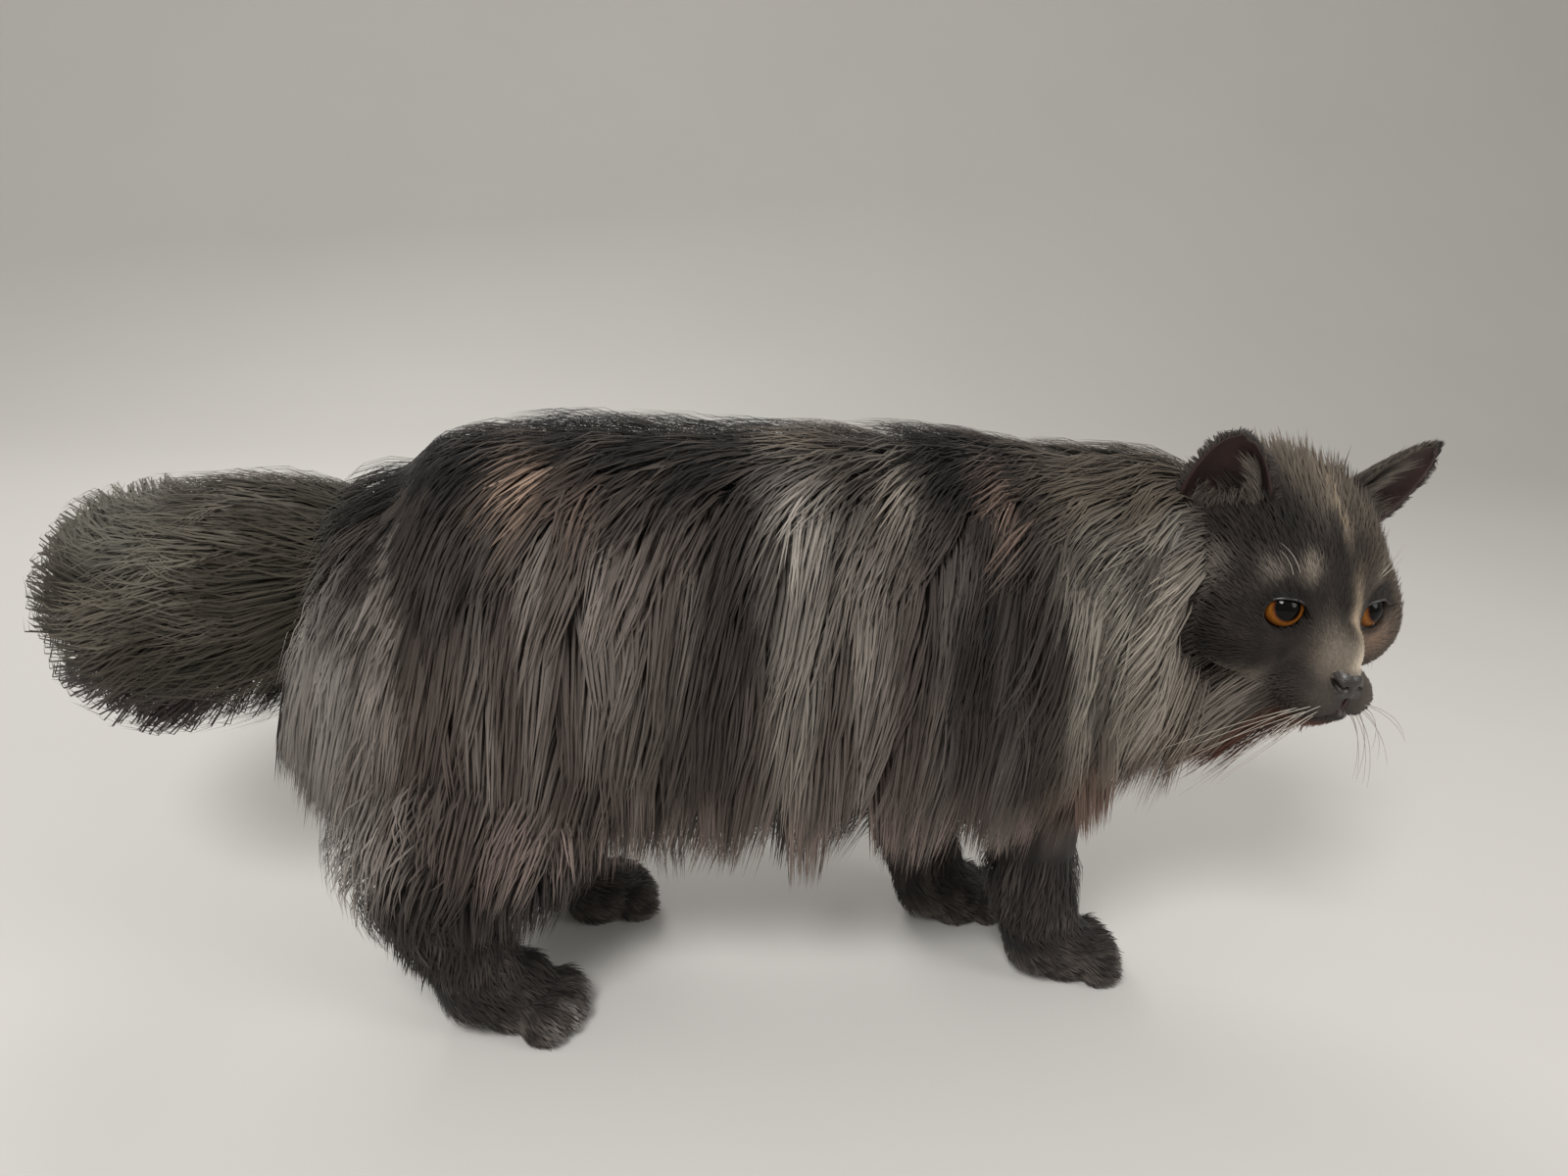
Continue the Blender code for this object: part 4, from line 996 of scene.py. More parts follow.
def lay_tufts(name, path, out, width, shape, colour, material):
    """Builds tufts from their paths and outward directions, both tufts by points by three."""
    global coat_triangles
    count, points, _ = path.shape
    rings = points - 1
    each = 3 * rings + 1
    faces = tuft_faces(rings)
    roots_uv = place_on_map(path[:, 0])
    step = np.empty((count, rings, 3))
    step[:, 0] = path[:, 1] - path[:, 0]
    step[:, 1:] = path[:, 2:] - path[:, :-2]
    forward = unit(step)
    side = unit(np.cross(forward, out[:, :rings]))
    up = np.cross(side, forward)
    half = (width[:, None] * np.array(shape)[None] / 2)[..., None]
    low, ridge = EDGE_LOW * half, RIDGE_HIGH * half
    rows = path[:, :rings]
    edges = (rows - side * half + up * low, rows + up * ridge, rows + side * half + up * low)
    corners = np.stack(edges, axis=2)
    verts = np.concatenate((corners.reshape(count, -1, 3), path[:, -1:]), axis=1)
    verts[..., 2] = np.maximum(verts[..., 2], FLOOR_GAP)
    soft = unit(up * (1 - NORMAL_LEAN) + out[:, :rings] * NORMAL_LEAN)
    turned = np.stack((unit(soft - NORMAL_SPREAD * side), soft, unit(soft + NORMAL_SPREAD * side)), axis=2)
    normals = np.concatenate((turned.reshape(count, -1, 3), soft[:, -1:]), axis=1)
    shades = np.concatenate((np.repeat(colour[:, :rings], 3, axis=1), colour[:, -1:]), axis=1)
    share = np.append(np.repeat(np.arange(rings), 3), rings) / rings
    corner = np.append(np.tile((0.0, 0.5, 1.0), rings), 0.5)
    patch = np.column_stack((share - 0.5, corner - 0.5)) * UV_PATCH
    length = np.linalg.norm(np.diff(path, axis=1), axis=2).sum(1)
    # Each tuft takes its fine strands from a place of its own in the pattern.
    start = np.random.default_rng(count).uniform(0, 400, count)
    across = start[:, None] + corner[None] * width[:, None]
    strand_at = np.stack((across, share[None] * length[:, None], 0 * across + start[:, None]), axis=2)
    pieces = int(np.ceil(count * len(faces) / TRIANGLES_A_PIECE))
    coat_triangles += count * len(faces)
    for piece, rows in enumerate(np.array_split(np.arange(count), pieces)):
        total = len(rows)
        index = (faces[None] + (np.arange(total) * each)[:, None, None]).reshape(-1).astype(np.int32)
        mesh = bpy.data.meshes.new(f"{name}_{piece}")
        mesh.vertices.add(total * each)
        mesh.vertices.foreach_set("co", stand(verts[rows]).astype(np.float32).ravel())
        mesh.loops.add(len(index))
        mesh.loops.foreach_set("vertex_index", index)
        mesh.polygons.add(len(index) // 3)
        mesh.polygons.foreach_set("loop_start", np.arange(0, len(index), 3, dtype=np.int32))
        mesh.polygons.foreach_set("use_smooth", np.ones(len(index) // 3, bool))
        tint = mesh.color_attributes.new("coat", "FLOAT_COLOR", "POINT")
        full = np.concatenate((shades[rows], np.ones((total, each, 1))), axis=2)
        tint.data.foreach_set("color", full.astype(np.float32).ravel())
        strand = mesh.attributes.new("strand", "FLOAT_VECTOR", "POINT")
        strand.data.foreach_set("vector", strand_at[rows].astype(np.float32).ravel())
        layer = mesh.uv_layers.new(name="OFBake")
        spread = (roots_uv[rows][:, None] + patch[None]).reshape(-1, 2)
        layer.data.foreach_set("uv", spread[index].astype(np.float32).ravel())
        mesh.materials.append(material)
        mesh.update()
        mesh.normals_split_custom_set_from_vertices(normals[rows].reshape(-1, 3).astype(np.float32))
        obj = bpy.data.objects.new(f"{name}_{piece}", mesh)
        bpy.context.scene.collection.objects.link(obj)
        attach(obj, "root")


def spaced(t_low, t_high, along_count, around_count, chance):
    """Places spread evenly over a tube, each moved a little: its t and its angle."""
    k, j = np.divmod(np.arange(along_count * around_count), around_count)
    t = t_low + (k + chance.uniform(0, 1, len(k))) / along_count * (t_high - t_low)
    angle = ((j + chance.uniform(0, 1, len(j)) + 0.5 * (k % 2)) / around_count * 2 - 1) * np.pi
    return t, (angle + np.pi) % (2 * np.pi) - np.pi


def nearest(points, centres):
    """The nearest centre of each point."""
    tree = KDTree(len(centres))
    for i, centre in enumerate(centres):
        tree.insert(tuple(centre), i)
    tree.balance()
    return np.array([tree.find(tuple(p))[1] for p in points])


LONG_SHARES = np.array((0.0, 0.3, 0.64, 1.0))
LONG_SHAPE = (0.6, 1.0, 0.75)
# Painted shade: how dark a long tuft is painted at its root, as if deep in the coat, and how pale at its tip.
LONG_PAINTED_SHADE = np.array((0.5, 0.85, 1.05, 1.2))
UNDERCOAT_SHARE = 0.3
ROOT_SUNK = 0.02
# A tuft leans round the tube to a lock no further off than this, in radians.
LOCK_ANGLE = 0.6
# Hair at the coat's full depth falls this far from its root, and joins a lock no further off than LOCK_REACH.
FALL_OFF = 26
LOCK_REACH = 40
# Hair that would hang too low is shortened, but never to less than this share.
SHORTEST = 0.25


def hang_down(path, root, out, top, size, hold, own, chosen, hang, chance):
    """Lets hair fall from its roots by its weight, and shortens what would hang too low."""
    weight, back, lowest = hang
    count, clumps = len(root), len(chosen)
    # Each lock swings a little to the front or the back, and its tips flick outwards.
    loose = 0.3 + 0.7 * smooth(root[:, 0], -70, -20)
    back = back + loose * chance.normal(0, 0.13, clumps)[own] + chance.normal(0, 0.05, count)
    flick = chance.uniform(0, 4, clumps)[own] + chance.uniform(0, 2, count)
    swing = out[:, 0] * (1, 1, 0)
    fall = np.zeros_like(path)
    for k, share in enumerate(LONG_SHARES):
        out_by = (top - SKIN_DEPTH) * FALL_OFF * np.sin(min(share * 1.7, 1) * np.pi / 2)
        fall[:, k] = root + swing * (out_by + flick * share**2)[:, None]
        fall[:, k, 0] -= back * size * share
        fall[:, k, 2] -= size * share * (0.55 + 0.45 * share)
    pull = fall[chosen][own][:, -1] - fall[:, -1]
    near = np.linalg.norm(pull, axis=1) < LOCK_REACH
    fall += pull[:, None] * LONG_SHARES[None, :, None] ** 2 * (0.8 * hold * near)[:, None, None]
    path += (fall - path) * weight[:, None, None]
    floor_at = lowest(path[:, -1]) + chance.normal(0, 6.0, clumps)[own] + chance.exponential(7, count)
    above, drop = root[:, 2] - floor_at, np.maximum(root[:, 2] - path[:, -1, 2], 1)
    kept = np.clip(above / drop, SHORTEST, 1)
    path[:, :, 2] = root[:, None, 2] + (path[:, :, 2] - root[:, None, 2]) * kept[:, None]


def long_coat(name, body, places, look, seed, material, upright=UPRIGHT):
    """Long hair over a tube, in soft locks: tufts near each other lean to a common tip.

    The look's functions give, from each root's t and angle, the slant and the length, the hold of a lock
    on its tufts, and if wanted the reach out towards the coat's bounds and the hang. Its numbers are the
    tube's ends, the tufts' width, the tufts in a lock, and the stray of the slant. Its base is the depth
    of the roots in the coat, and its marks give the colours.
    """
    chance = np.random.default_rng(seed)
    skin_rows, coat_rows = body
    t, angle = places
    count = len(t)
    base = look.get("base", SKIN_DEPTH)
    root, _ = tube_point(mixed(skin_rows, coat_rows, base), t, angle, upright)
    clumps = max(8, count // look["a_lock"])
    chosen = chance.choice(count, clumps, replace=False)
    own = nearest(root, root[chosen])
    # The locks of a coat differ in length, in their slant and in how high they lie.
    stray = look.get("stray", 0.045)
    slant = look["slant"](t, angle) + chance.normal(0, 2 * stray, clumps)[own]
    slant = slant + chance.normal(0, stray, count)
    size = look["length"](t, angle) * chance.uniform(0.84, 1.12, clumps)[own]
    size = size * chance.uniform(0.8, 1.08, count)
    # Undercoat stays low, and guard hair reaches the coat's outer bounds.
    under = chance.uniform(size=count) < UNDERCOAT_SHARE
    top = np.where(under, chance.uniform(0.45, 0.8, count), chance.uniform(0.8, 1.0, count))
    if "reach" in look:
        top = top * look["reach"](t, angle)
    top = top * chance.uniform(0.93, 1.05, clumps)[own]
    row = along_line(coat_rows, t)
    step = 0.1
    ahead, behind = along_line(coat_rows, t + step)[:, :3], along_line(coat_rows, t - step)[:, :3]
    forward_step = np.linalg.norm(ahead - behind, axis=1) / (2 * step)
    least_radius = 12
    around_radius = np.hypot(row[:, 3] * np.cos(angle), row[:, 4] * np.sin(angle))
    down = np.where(angle > 0, 1.0, -1.0)
    t_tip = t + np.cos(slant) * size / forward_step
    a_tip = angle + down * np.sin(slant) * size / np.maximum(around_radius, least_radius)
    hold = look["hold"](t, angle)
    t_tip = t_tip + (t_tip[chosen][own] - t_tip) * hold
    a_gap = (a_tip[chosen][own] - a_tip + np.pi) % (2 * np.pi) - np.pi
    a_tip = a_tip + a_gap * hold * (np.abs(a_gap) < LOCK_ANGLE)
    first, last = look["ends"]
    t_tip = np.clip(t_tip, first, last - chance.exponential(0.12, count))
    bend = chance.normal(0, 0.03, clumps)[own] + chance.normal(0, 0.02, count)
    path = np.empty((count, len(LONG_SHARES), 3))
    out = np.empty_like(path)
    for k, share in enumerate(LONG_SHARES):
        rise = np.sin(min(share * 1.35, 1) * np.pi / 2) ** 0.8
        depth = base - ROOT_SUNK + (top - base) * rise
        t_here = t + (t_tip - t) * share**1.1
        a_here = angle + (a_tip - angle) * share**1.1 + bend * np.sin(share * np.pi)
        inner, normal = tube_point(skin_rows, t_here, a_here, upright)
        outer, _ = tube_point(coat_rows, t_here, a_here, upright)
        path[:, k] = inner + (outer - inner) * depth[:, None]
        out[:, k] = normal
    if "hang" in look:
        hang = look["hang"](root, t, angle)
        hang_down(path, root, out, top, size, hold, own, chosen, hang, chance)
    # Hair on the back is a little finer than on the flanks.
    finer = np.interp(np.abs(angle), (0.3, 1.0), (0.95, 1.0))
    wide = look["width"] * chance.uniform(0.65, 1.3, count) * finer
    # Each lock has its own tone, and hair is painted darker at its root, as shade deep in the coat, and paler
    # towards its tip.
    tone = chance.uniform(0.84, 1.16, clumps)[own] * chance.uniform(0.92, 1.1, count)
    marks = look.get("marks", markings)
    colour = marks(path[:, 2])[:, None] * tone[:, None, None] * LONG_PAINTED_SHADE[None, :, None]
    lay_tufts(name, path, out, wide, LONG_SHAPE, np.clip(colour, 0, 1), material)


# The long coat of the back, flanks and belly.
# It runs back along the spine, falls down the flanks, and hangs in a fringe under the belly.
# The hair is soft, 46 to 66 mm long, and a little parted into locks.

# Soft and dull, with a faint sheen where the light grazes it.
torso_fur = fur_material("Long smoke fur", 0.78, 0.08, 0.5, 0.22)
chance = np.random.default_rng(101)


def by_angle(angles, values):
    """A measure that changes from the top of a tube, at angle 0, down to its underside."""
    return lambda t, angle: np.interp(np.abs(angle), angles, values)


def by_row(rows, values):
    """A measure that changes along a tube, by the number of its row."""
    return lambda t, angle: np.interp(t, rows, values)


def torso_slant(t, angle):
    side = np.abs(angle)
    down = np.interp(side, (0, 0.25, 0.6, 1.0, 1.6, 2.4, np.pi), (4, 32, 62, 76, 82, 80, 15))
    rump = np.interp(t, (0.5, 2.6), (14, 0))
    return np.pi - np.radians(down - rump)


def torso_hang(root, t, angle):
    """How far the hair hangs, how far it swings back, and the lowest it reaches."""
    side = np.abs(angle)
    flank = smooth(side, 0.5, 2.0) * (1 - 0.6 * smooth(side, 2.7, 3.1))
    rump = smooth(root[:, 0], -52, -82) * smooth(side, 0.9, 1.5)
    back = 0.1 + 0.04 * smooth(root[:, 0], -20, -80)

    def lowest(tip):
        # The fringe hangs lowest in the middle, to 68 mm above the floor.
        fringe = 68 + 26 * np.clip(np.abs(tip[:, 1]) / 75, 0, 1) ** 2
        return fringe + 22 * smooth(tip[:, 0], -40, -90)

    return np.maximum(0.9 * flank, 0.85 * rump), back, lowest


long_coat(
    "coat_body",
    (TORSO, TORSO_COAT),
    spaced(-0.3, 7.6, 204, 149, chance),
    {
        "slant": torso_slant,
        "length": by_angle((0, 0.4, 0.9, 1.6, 2.4, np.pi), (46, 47, 52, 60, 66, 52)),
        "reach": by_angle((0.2, 0.9), (0.86, 1.0)),
        "hang": torso_hang,
        "ends": (-0.8, 8.0),
        "width": 1.15,
        "a_lock": 46,
        "hold": by_angle((0.3, 1.1), (0.12, 0.42)),
    },
    102,
    torso_fur,
)

# The ruff.
# A thick pale collar, its hair 40 to 66 mm long, soft and full.
# It flows back from the face and down the sides of the neck to a bib on the chest.

# Silkier than the flanks' hair, with a little more sheen.
ruff_fur = fur_material("Long silver fur", 0.78, 0.1, 0.5, 0.22)
chance = np.random.default_rng(111)


def ruff_slant(t, angle):
    return np.pi - np.radians(np.interp(np.abs(angle), (0, 0.6, 1.5, 2.4, np.pi), (5, 35, 72, 76, 60)))


EVEN_HOLD = by_row((0,), (0.35,))


def ruff_hang(root, t, angle):
    side = np.abs(angle)

    def lowest(tip):
        return np.interp(tip[:, 0], (240, 330), (94, 112))

    return 0.85 * smooth(side, 1.0, 1.9), 0.25 + 0 * side, lowest


t, angle = spaced(0.0, 4.3, 72, 146, chance)
root, _ = tube_point(mixed(NECK, NECK_COAT, SKIN_DEPTH), t, angle)
clear = off_skull(to_head(root)) > 3
long_coat(
    "coat_ruff",
    (NECK, NECK_COAT),
    (t[clear], angle[clear]),
    {
        "slant": ruff_slant,
        "length": by_angle((0, 1.2, 2.4, np.pi), (40, 60, 66, 56)),
        "hang": ruff_hang,
        "ends": (-3.0, 5.0),
        "width": 1.1,
        "a_lock": 36,
        "hold": EVEN_HOLD,
    },
    112,
    ruff_fur,
)

# The tail's plume.
# Loose hair, 40 to 46 mm long and shorter at the end, that stands out from the bone all round.
# It streams towards the tip as on a bottle brush, and its slant waves a little along the bone.

# Drier and duller than the flanks' hair.
tail_fur = fur_material("Long tail fur", 0.8, 0.08, 0.5, 0.22)
chance = np.random.default_rng(121)


def tail_slant(t, angle):
    return 0.3 * np.sin(2.3 * t + 2 * angle) + 0.15 * np.sin(angle)


long_coat(
    "coat_tail",
    (TAIL, TAIL_COAT),
    spaced(-0.9, 5.1, 120, 88, chance),
    {
        "slant": tail_slant,
        "length": by_row((-1, 1, 3.5, 5.2), (44, 46, 40, 20)),
        "reach": by_row((3.6, 5.2), (1.0, 0.72)),
        "marks": tail_marks,
        "ends": (-1.0, 6.15),
        "width": 1.0,
        "a_lock": 24,
        "hold": EVEN_HOLD,
        "stray": 0.11,
    },
    122,
    tail_fur,
)

# The breeches.
# Long silver hair behind and beside each thigh, hanging to just above the hock.
# It is 44 mm long at the top and 15 mm at the hock, and rooted well out on the thigh's muscle.

chance = np.random.default_rng(131)


def thigh_hang(root, t, angle):
    def lowest(tip):
        return tip[:, 2]

    return 0.75 * smooth(t, 3.2, 2.0), 0.2 + 0 * t, lowest


for side in SIDES:
    long_coat(
        f"coat_thigh_{side}",
        (leg_rows(False, side, 1.0), breech_rows(side)),
        spaced(0.6, 4.3, 62, 60, chance),
        {
            "slant": by_row((0,), (0,)),
            "length": by_row((0, 1.5, 2.6, 4.0), (44, 38, 26, 15)),
            "hang": thigh_hang,
            "ends": (0.0, 4.9),
            "width": 1.05,
            "base": THIGH_DEPTH,
            "reach": by_row((0.3, 1.7), (0.75, 1.0)),
            "a_lock": 30,
            "hold": EVEN_HOLD,
        },
        132,
        torso_fur,
        LEG_UPRIGHT,
    )

# The short coat.
# Dense hair from 1 mm on the nose to some 20 mm, rooted evenly over the skin and lying along it.
# The face's comes first, and runs from the nose leather back over the skull.

corner_points = places[skin_triangles]
cross = np.cross(corner_points[:, 1] - corner_points[:, 0], corner_points[:, 2] - corner_points[:, 0])
triangle_area = np.linalg.norm(cross, axis=1) / 2
triangle_middle = corner_points.mean(1)
vertex_normal = values_of(skin.data.vertices, "normal", 3)
triangle_bare = bare[values_of(skin.data.loop_triangles, "polygon_index", 1, np.int32)]


def rooted(density, seed):
    """Roots over the skin and their normals: density is tufts per square millimetre of each triangle."""
    chance = np.random.default_rng(seed)
    weight = density * triangle_area
    count = int(weight.sum())
    order = np.cumsum(weight)
    pick = np.searchsorted(order, (np.arange(count) + chance.uniform(0, 1, count)) * order[-1] / count)
    pick = np.clip(pick, 0, len(order) - 1)
    a, b = chance.uniform(size=(2, count))
    flip = a + b > 1
    a, b = np.where(flip, 1 - a, a)[:, None], np.where(flip, 1 - b, b)[:, None]
    corners = skin_triangles[pick]
    shares = (1 - a - b, a, b)
    points = sum(places[corners[:, k]] * shares[k] for k in range(3))
    normals = sum(vertex_normal[corners[:, k]] * shares[k] for k in range(3))
    return points, unit(normals)


ROOT_DEPTH = 0.25
SHORT_LOOK = {"shares": (0.0, 0.5, 1.0), "shape": (0.8, 1.0), "sag": 0.0, "a_lock": 0, "hold": 0.0}
LONG_LOOK = {"shares": LONG_SHARES, "shape": LONG_SHAPE, "sag": 0.3, "a_lock": 30, "hold": 0.5}


def short_coat(
    name, points, normals, flow, length, lift, width, seed, material, slot, look=SHORT_LOOK, dye=None
):
    """Hair rooted in the skin: each tuft rises from its root and lies along the flow.

    Its look gives the shares of its length where its points lie, its shape, how far its tip sags, and
    how many tufts share a lock and how strongly the lock holds them. A dye stands in for the markings.
    """
    shares = look["shares"]
    chance = np.random.default_rng(seed)
    count = len(points)
    flow = unit(unit(flow) + chance.normal(0, 0.1, (count, 3)))
    flow = unit(flow - normals * np.minimum(np.sum(flow * normals, axis=1, keepdims=True), 0.25))
    length = length * chance.uniform(0.75, 1.2, count)
    lift = lift * chance.uniform(0.5, 1.3, count)
    width = width * np.ones(count)
    path = np.empty((count, len(shares), 3))
    for k, share in enumerate(shares):
        rise = lift * length * np.sin(min(share * 1.2, 1) * np.pi / 2) - ROOT_DEPTH
        path[:, k] = points + normals * rise[:, None] + flow * (length * share)[:, None]
        path[:, k, 2] -= look["sag"] * length * share**2
    tone = chance.uniform(0.84, 1.2, count)
    if look["a_lock"]:
        chosen = chance.choice(count, count // look["a_lock"], replace=False)
        own = nearest(points, points[chosen])
        pull = path[chosen][own][:, -1] - path[:, -1]
        path += pull[:, None] * (np.array(shares) ** 1.5)[None, :, None] * look["hold"]
        tone = tone * chance.uniform(0.86, 1.16, len(chosen))[own]
    out = np.repeat(normals[:, None], len(shares), axis=1)
    # Painted shade darkens each tuft towards its root, as if deep in the coat, and it is paler towards its
    # tip.
    painted_shade = np.interp(shares, (0, 0.5, 1), (0.65, 1.0, 1.18))
    base = markings(points) if dye is None else np.broadcast_to(dye, (count, 3))
    colour = base[:, None] * tone[:, None, None] * painted_shade[None, :, None]
    lay_tufts(name, path, out, width, look["shape"], np.clip(colour, 0, 1), material)


# Plush and matt, with hardly any sheen.
face_fur = fur_material("Short face fur", 0.78, 0.06, 0.4, 0.22)
middle_local = to_head(triangle_middle)
skull_gap = off_skull(middle_local)
triangle_ear = np.zeros(len(triangle_middle), bool)
near_eye = np.zeros(len(triangle_middle), bool)
for side in SIDES.values():
    root, along, mouth, across, height = ear_frame(side)
    offset = triangle_middle - root
    up_ear = offset @ along
    near = np.linalg.norm(offset - up_ear[:, None] * along, axis=1) < EAR_WIDTH + 5
    triangle_ear |= near & (up_ear > 3) & (up_ear < height + 6) & (skull_gap > 0.5)
    gap = np.linalg.norm(middle_local - EYE * (1, side, 1), axis=1)
    near_eye |= (gap < EYE_RADIUS + 1.0) & (middle_local[:, 0] > 18)
on_head = (skull_gap < 3.5) & ~triangle_ear
furred = on_head & ~near_eye & (triangle_bare == FUR_PATCH)
from_nose = np.linalg.norm(middle_local - NOSE_TIP, axis=1)
density = np.where(furred, np.interp(from_nose, (10, 30, 70, 110), (1.5, 1.0, 0.6, 0.3)), 0.0)
roots, normals = rooted(density, 141)
local = to_head(roots)
forward, left, up = local.T
away = unit(local - NOSE_TIP)
crown = smooth(up, 30, 48) * smooth(forward, 26, 10)
away[:, 2] += 0.15 * crown
distance = np.linalg.norm(local - NOSE_TIP, axis=1)
length = np.interp(distance, (6, 18, 40, 62, 85, 110), (1.2, 2.2, 3.8, 6.5, 10.0, 15.0))
length = length * (1 + 0.3 * crown)
wide = np.interp(length, (1.5, 6, 20), (0.5, 0.75, 1.1))
lift = np.interp(length, (2, 12, 20), (0.16, 0.2, 0.26))
short_coat("coat_face", roots, normals, away @ HEAD_AXES.T, length, lift, wide, 142, face_fur, "face_coat")

# The cheeks' and the jaw's long hair.
# It starts behind the eyes and at the mouth's corners, and falls outwards and down over the ruff.
# It is up to 44 mm long on the near cheek, and half that on the far one, which is turned away.


def cheek_share(local):
    """Where long hair grows on the head: 1 on the cheeks and under the jaw. The second is the jaw's own."""
    forward, left, up = local.T
    top = 26 + 18 * smooth(forward, 6, -8)
    cheek = smooth(forward, 22, 4) * smooth(up, top, 10) * smooth(np.abs(left), 20, 30)
    jaw = smooth(up, -26, -36) * smooth(forward, 44, 32)
    return np.maximum(cheek, jaw), jaw


share, _ = cheek_share(middle_local)
roots, normals = rooted(np.where(furred & (share > 0.3), 0.8 * share, 0.0), 145)
local = to_head(roots)
left, up = local[:, 1], local[:, 2]
share, jaw = cheek_share(local)
near = left < 0
aside = np.sign(left) * np.where(near, 0.6, 0.75) * (1 - 0.4 * jaw)
flow = np.column_stack((-0.5 - 0.1 * jaw, aside, np.where(near, -0.65, -0.5) - 0.2 * jaw))
length = (12 + 32 * share) * np.interp(up, (-45, -10, 20, 40), (0.9, 1.0, 0.75, 0.6))
length = length * np.where(near, 1, 0.5)
lift = 0.15 + np.where(near, 0.42, 0.25) * share - 0.2 * jaw
# The throat keeps the chin's red brown and its painted shade, and takes no silver.
throat = smooth(up, -37, -42) * smooth(np.abs(left), 24, 14)
silver = smooth(share, 0.35, 0.8) * (1 - throat) * (0.35 + 0.65 * soft_noise(local, (9, 9, 22), 32))
dye = mix(markings(roots), linear("#857d73"), 0.85 * silver)
flow, wide, soft = flow @ HEAD_AXES.T, 0.8 + 0.2 * share, {**LONG_LOOK, "hold": 0.3}
short_coat("coat_cheeks", roots, normals, flow, length, lift, wide, 146, face_fur, "face_coat", soft, dye)

# The ears' hair.
# Short fur covers their backs, and long pale hairs cross the mouth of each from its front edge and foot.
# A thin fringe stands on each rim.

ear_back = triangle_ear & (triangle_bare == FUR_PATCH)
roots, normals = rooted(np.where(ear_back, 0.9, 0.0), 151)
toward_tip = np.zeros_like(roots)
for side in SIDES.values():
    root, along, mouth, across, height = ear_frame(side)
    mine = np.linalg.norm(roots - root, axis=1) < 70
    toward_tip[mine] = along
short_coat("coat_ears", roots, normals, toward_tip, 4.6, 0.15, 0.8, 152, face_fur, "face_coat")
EAR_LOOK = {**LONG_LOOK, "sag": 0.1, "a_lock": 20, "hold": 0.45}
EAR_HAIRS = 520
EAR_HAIR_WIDTH = 0.6
for name, side in SIDES.items():
    root, along, mouth, across, height = ear_frame(side)
    chance = np.random.default_rng(153)
    count = EAR_HAIRS
    front = across * np.sign(across @ (HEAD_AXES @ (0.4, -side, 0)))
    at_edge = chance.uniform(0, 1, count) < 0.6
    climb = np.where(at_edge, chance.uniform(0, 26, count), chance.uniform(-3, 5, count))
    aside = np.where(at_edge, EAR_WIDTH * (0.82 - climb / 90), chance.uniform(-0.7, 0.8, count) * EAR_WIDTH)
    start_at = root + along * climb[:, None] + front * aside[:, None]
    start_at = start_at + mouth * chance.uniform(-6, 2, count)[:, None]
    lean = np.where(at_edge, chance.uniform(0.2, 0.9, count), chance.uniform(-0.25, 0.35, count))
    way = along * 0.9 - front * lean[:, None] + mouth * chance.uniform(0.15, 0.5, count)[:, None]
    size = chance.uniform(9, 22, count)
    facing = np.repeat(mouth[None], count, axis=0)
    looks = (face_fur, "face_coat", EAR_LOOK, linear("#665e56"))
    short_coat(f"coat_ear_tufts_{name}", start_at, facing, way, size, 0.0, EAR_HAIR_WIDTH, 154, *looks)
    t = chance.uniform(0.16, 1.0, count)
    a = np.where(chance.uniform(size=count) < 0.5, -1, 1) * EAR_HALF_OPEN * chance.uniform(0.9, 1.0, count)
    start_at = ear_place(side, t, a, 0)
    way = along * 0.8 + unit(start_at - root - along * ((start_at - root) @ along)[:, None]) * 0.5
    size = chance.uniform(3, 7, count)
    looks = (face_fur, "face_coat", EAR_LOOK, linear("#4d4743"))
    short_coat(f"coat_ear_rim_{name}", start_at, facing, way, size, 0.0, EAR_HAIR_WIDTH, 155, *looks)

# The rump's hair.
# It is 30 to 44 mm long and thinly set, over the long coat's own.
# It flows back over the rump's curve, and falls behind the thighs and beside the tail's root.

tail_line = along_line(TAIL, np.linspace(-1, 2, 40))[:, :3]
from_tail = np.linalg.norm(triangle_middle[:, None] - tail_line[None, ::4], axis=2).min(1)
RUMP_BACK, RUMP_FOOT, TAIL_CLEAR = -108, 140, 25
back_or_front, above_floor = triangle_middle[:, 0], triangle_middle[:, 2]
rump_area = (back_or_front > RUMP_BACK) & (above_floor > RUMP_FOOT) & (from_tail > TAIL_CLEAR)
roots, normals = rooted(np.where(rump_area, 0.2 * smooth(back_or_front, -52, -68), 0.0), 171)
flow = np.array((-0.3, 0, -0.8)) + roots * (0, 0.004, 0)
length = np.interp(roots[:, 2], (160, 250), (44, 30))
lift = np.interp(roots[:, 2], (170, 250), (0.14, 0.34))
sagging = {**LONG_LOOK, "sag": 0.12}
short_coat("coat_rump", roots, normals, flow, length, lift, 1.0, 172, torso_fur, "smoke_coat", sagging)

# The end of the tail.
# The bone's end carries hair of its own, 16 mm long, in the plume's colours.
# It fills the plume, which would else have a hollow when seen from behind.

LAST_ROW = len(TAIL) - 1
tail_end = along_line(TAIL, LAST_ROW)[0, :3]
tail_way = tube_frame(TAIL, LAST_ROW)[1][0]
offset = triangle_middle - tail_end
at_end = (np.linalg.norm(offset, axis=1) < 26) & (offset @ tail_way > -7)
roots, normals = rooted(np.where(at_end, 0.5, 0.0), 181)
looks = (tail_fur, "tail_coat", {**LONG_LOOK, "sag": 0.05, "a_lock": 8, "hold": 0.25})
short_coat("coat_tail_end", roots, normals, tail_way, 16.0, 0.3, 1.0, 182, *looks)

# The legs' and paws' hair.
# Dense and dark, 18 mm long at the belly and 5 mm on the toes, where it turns silver at the edges.
# It runs down the legs, and forward over each paw in the way that its toes point.

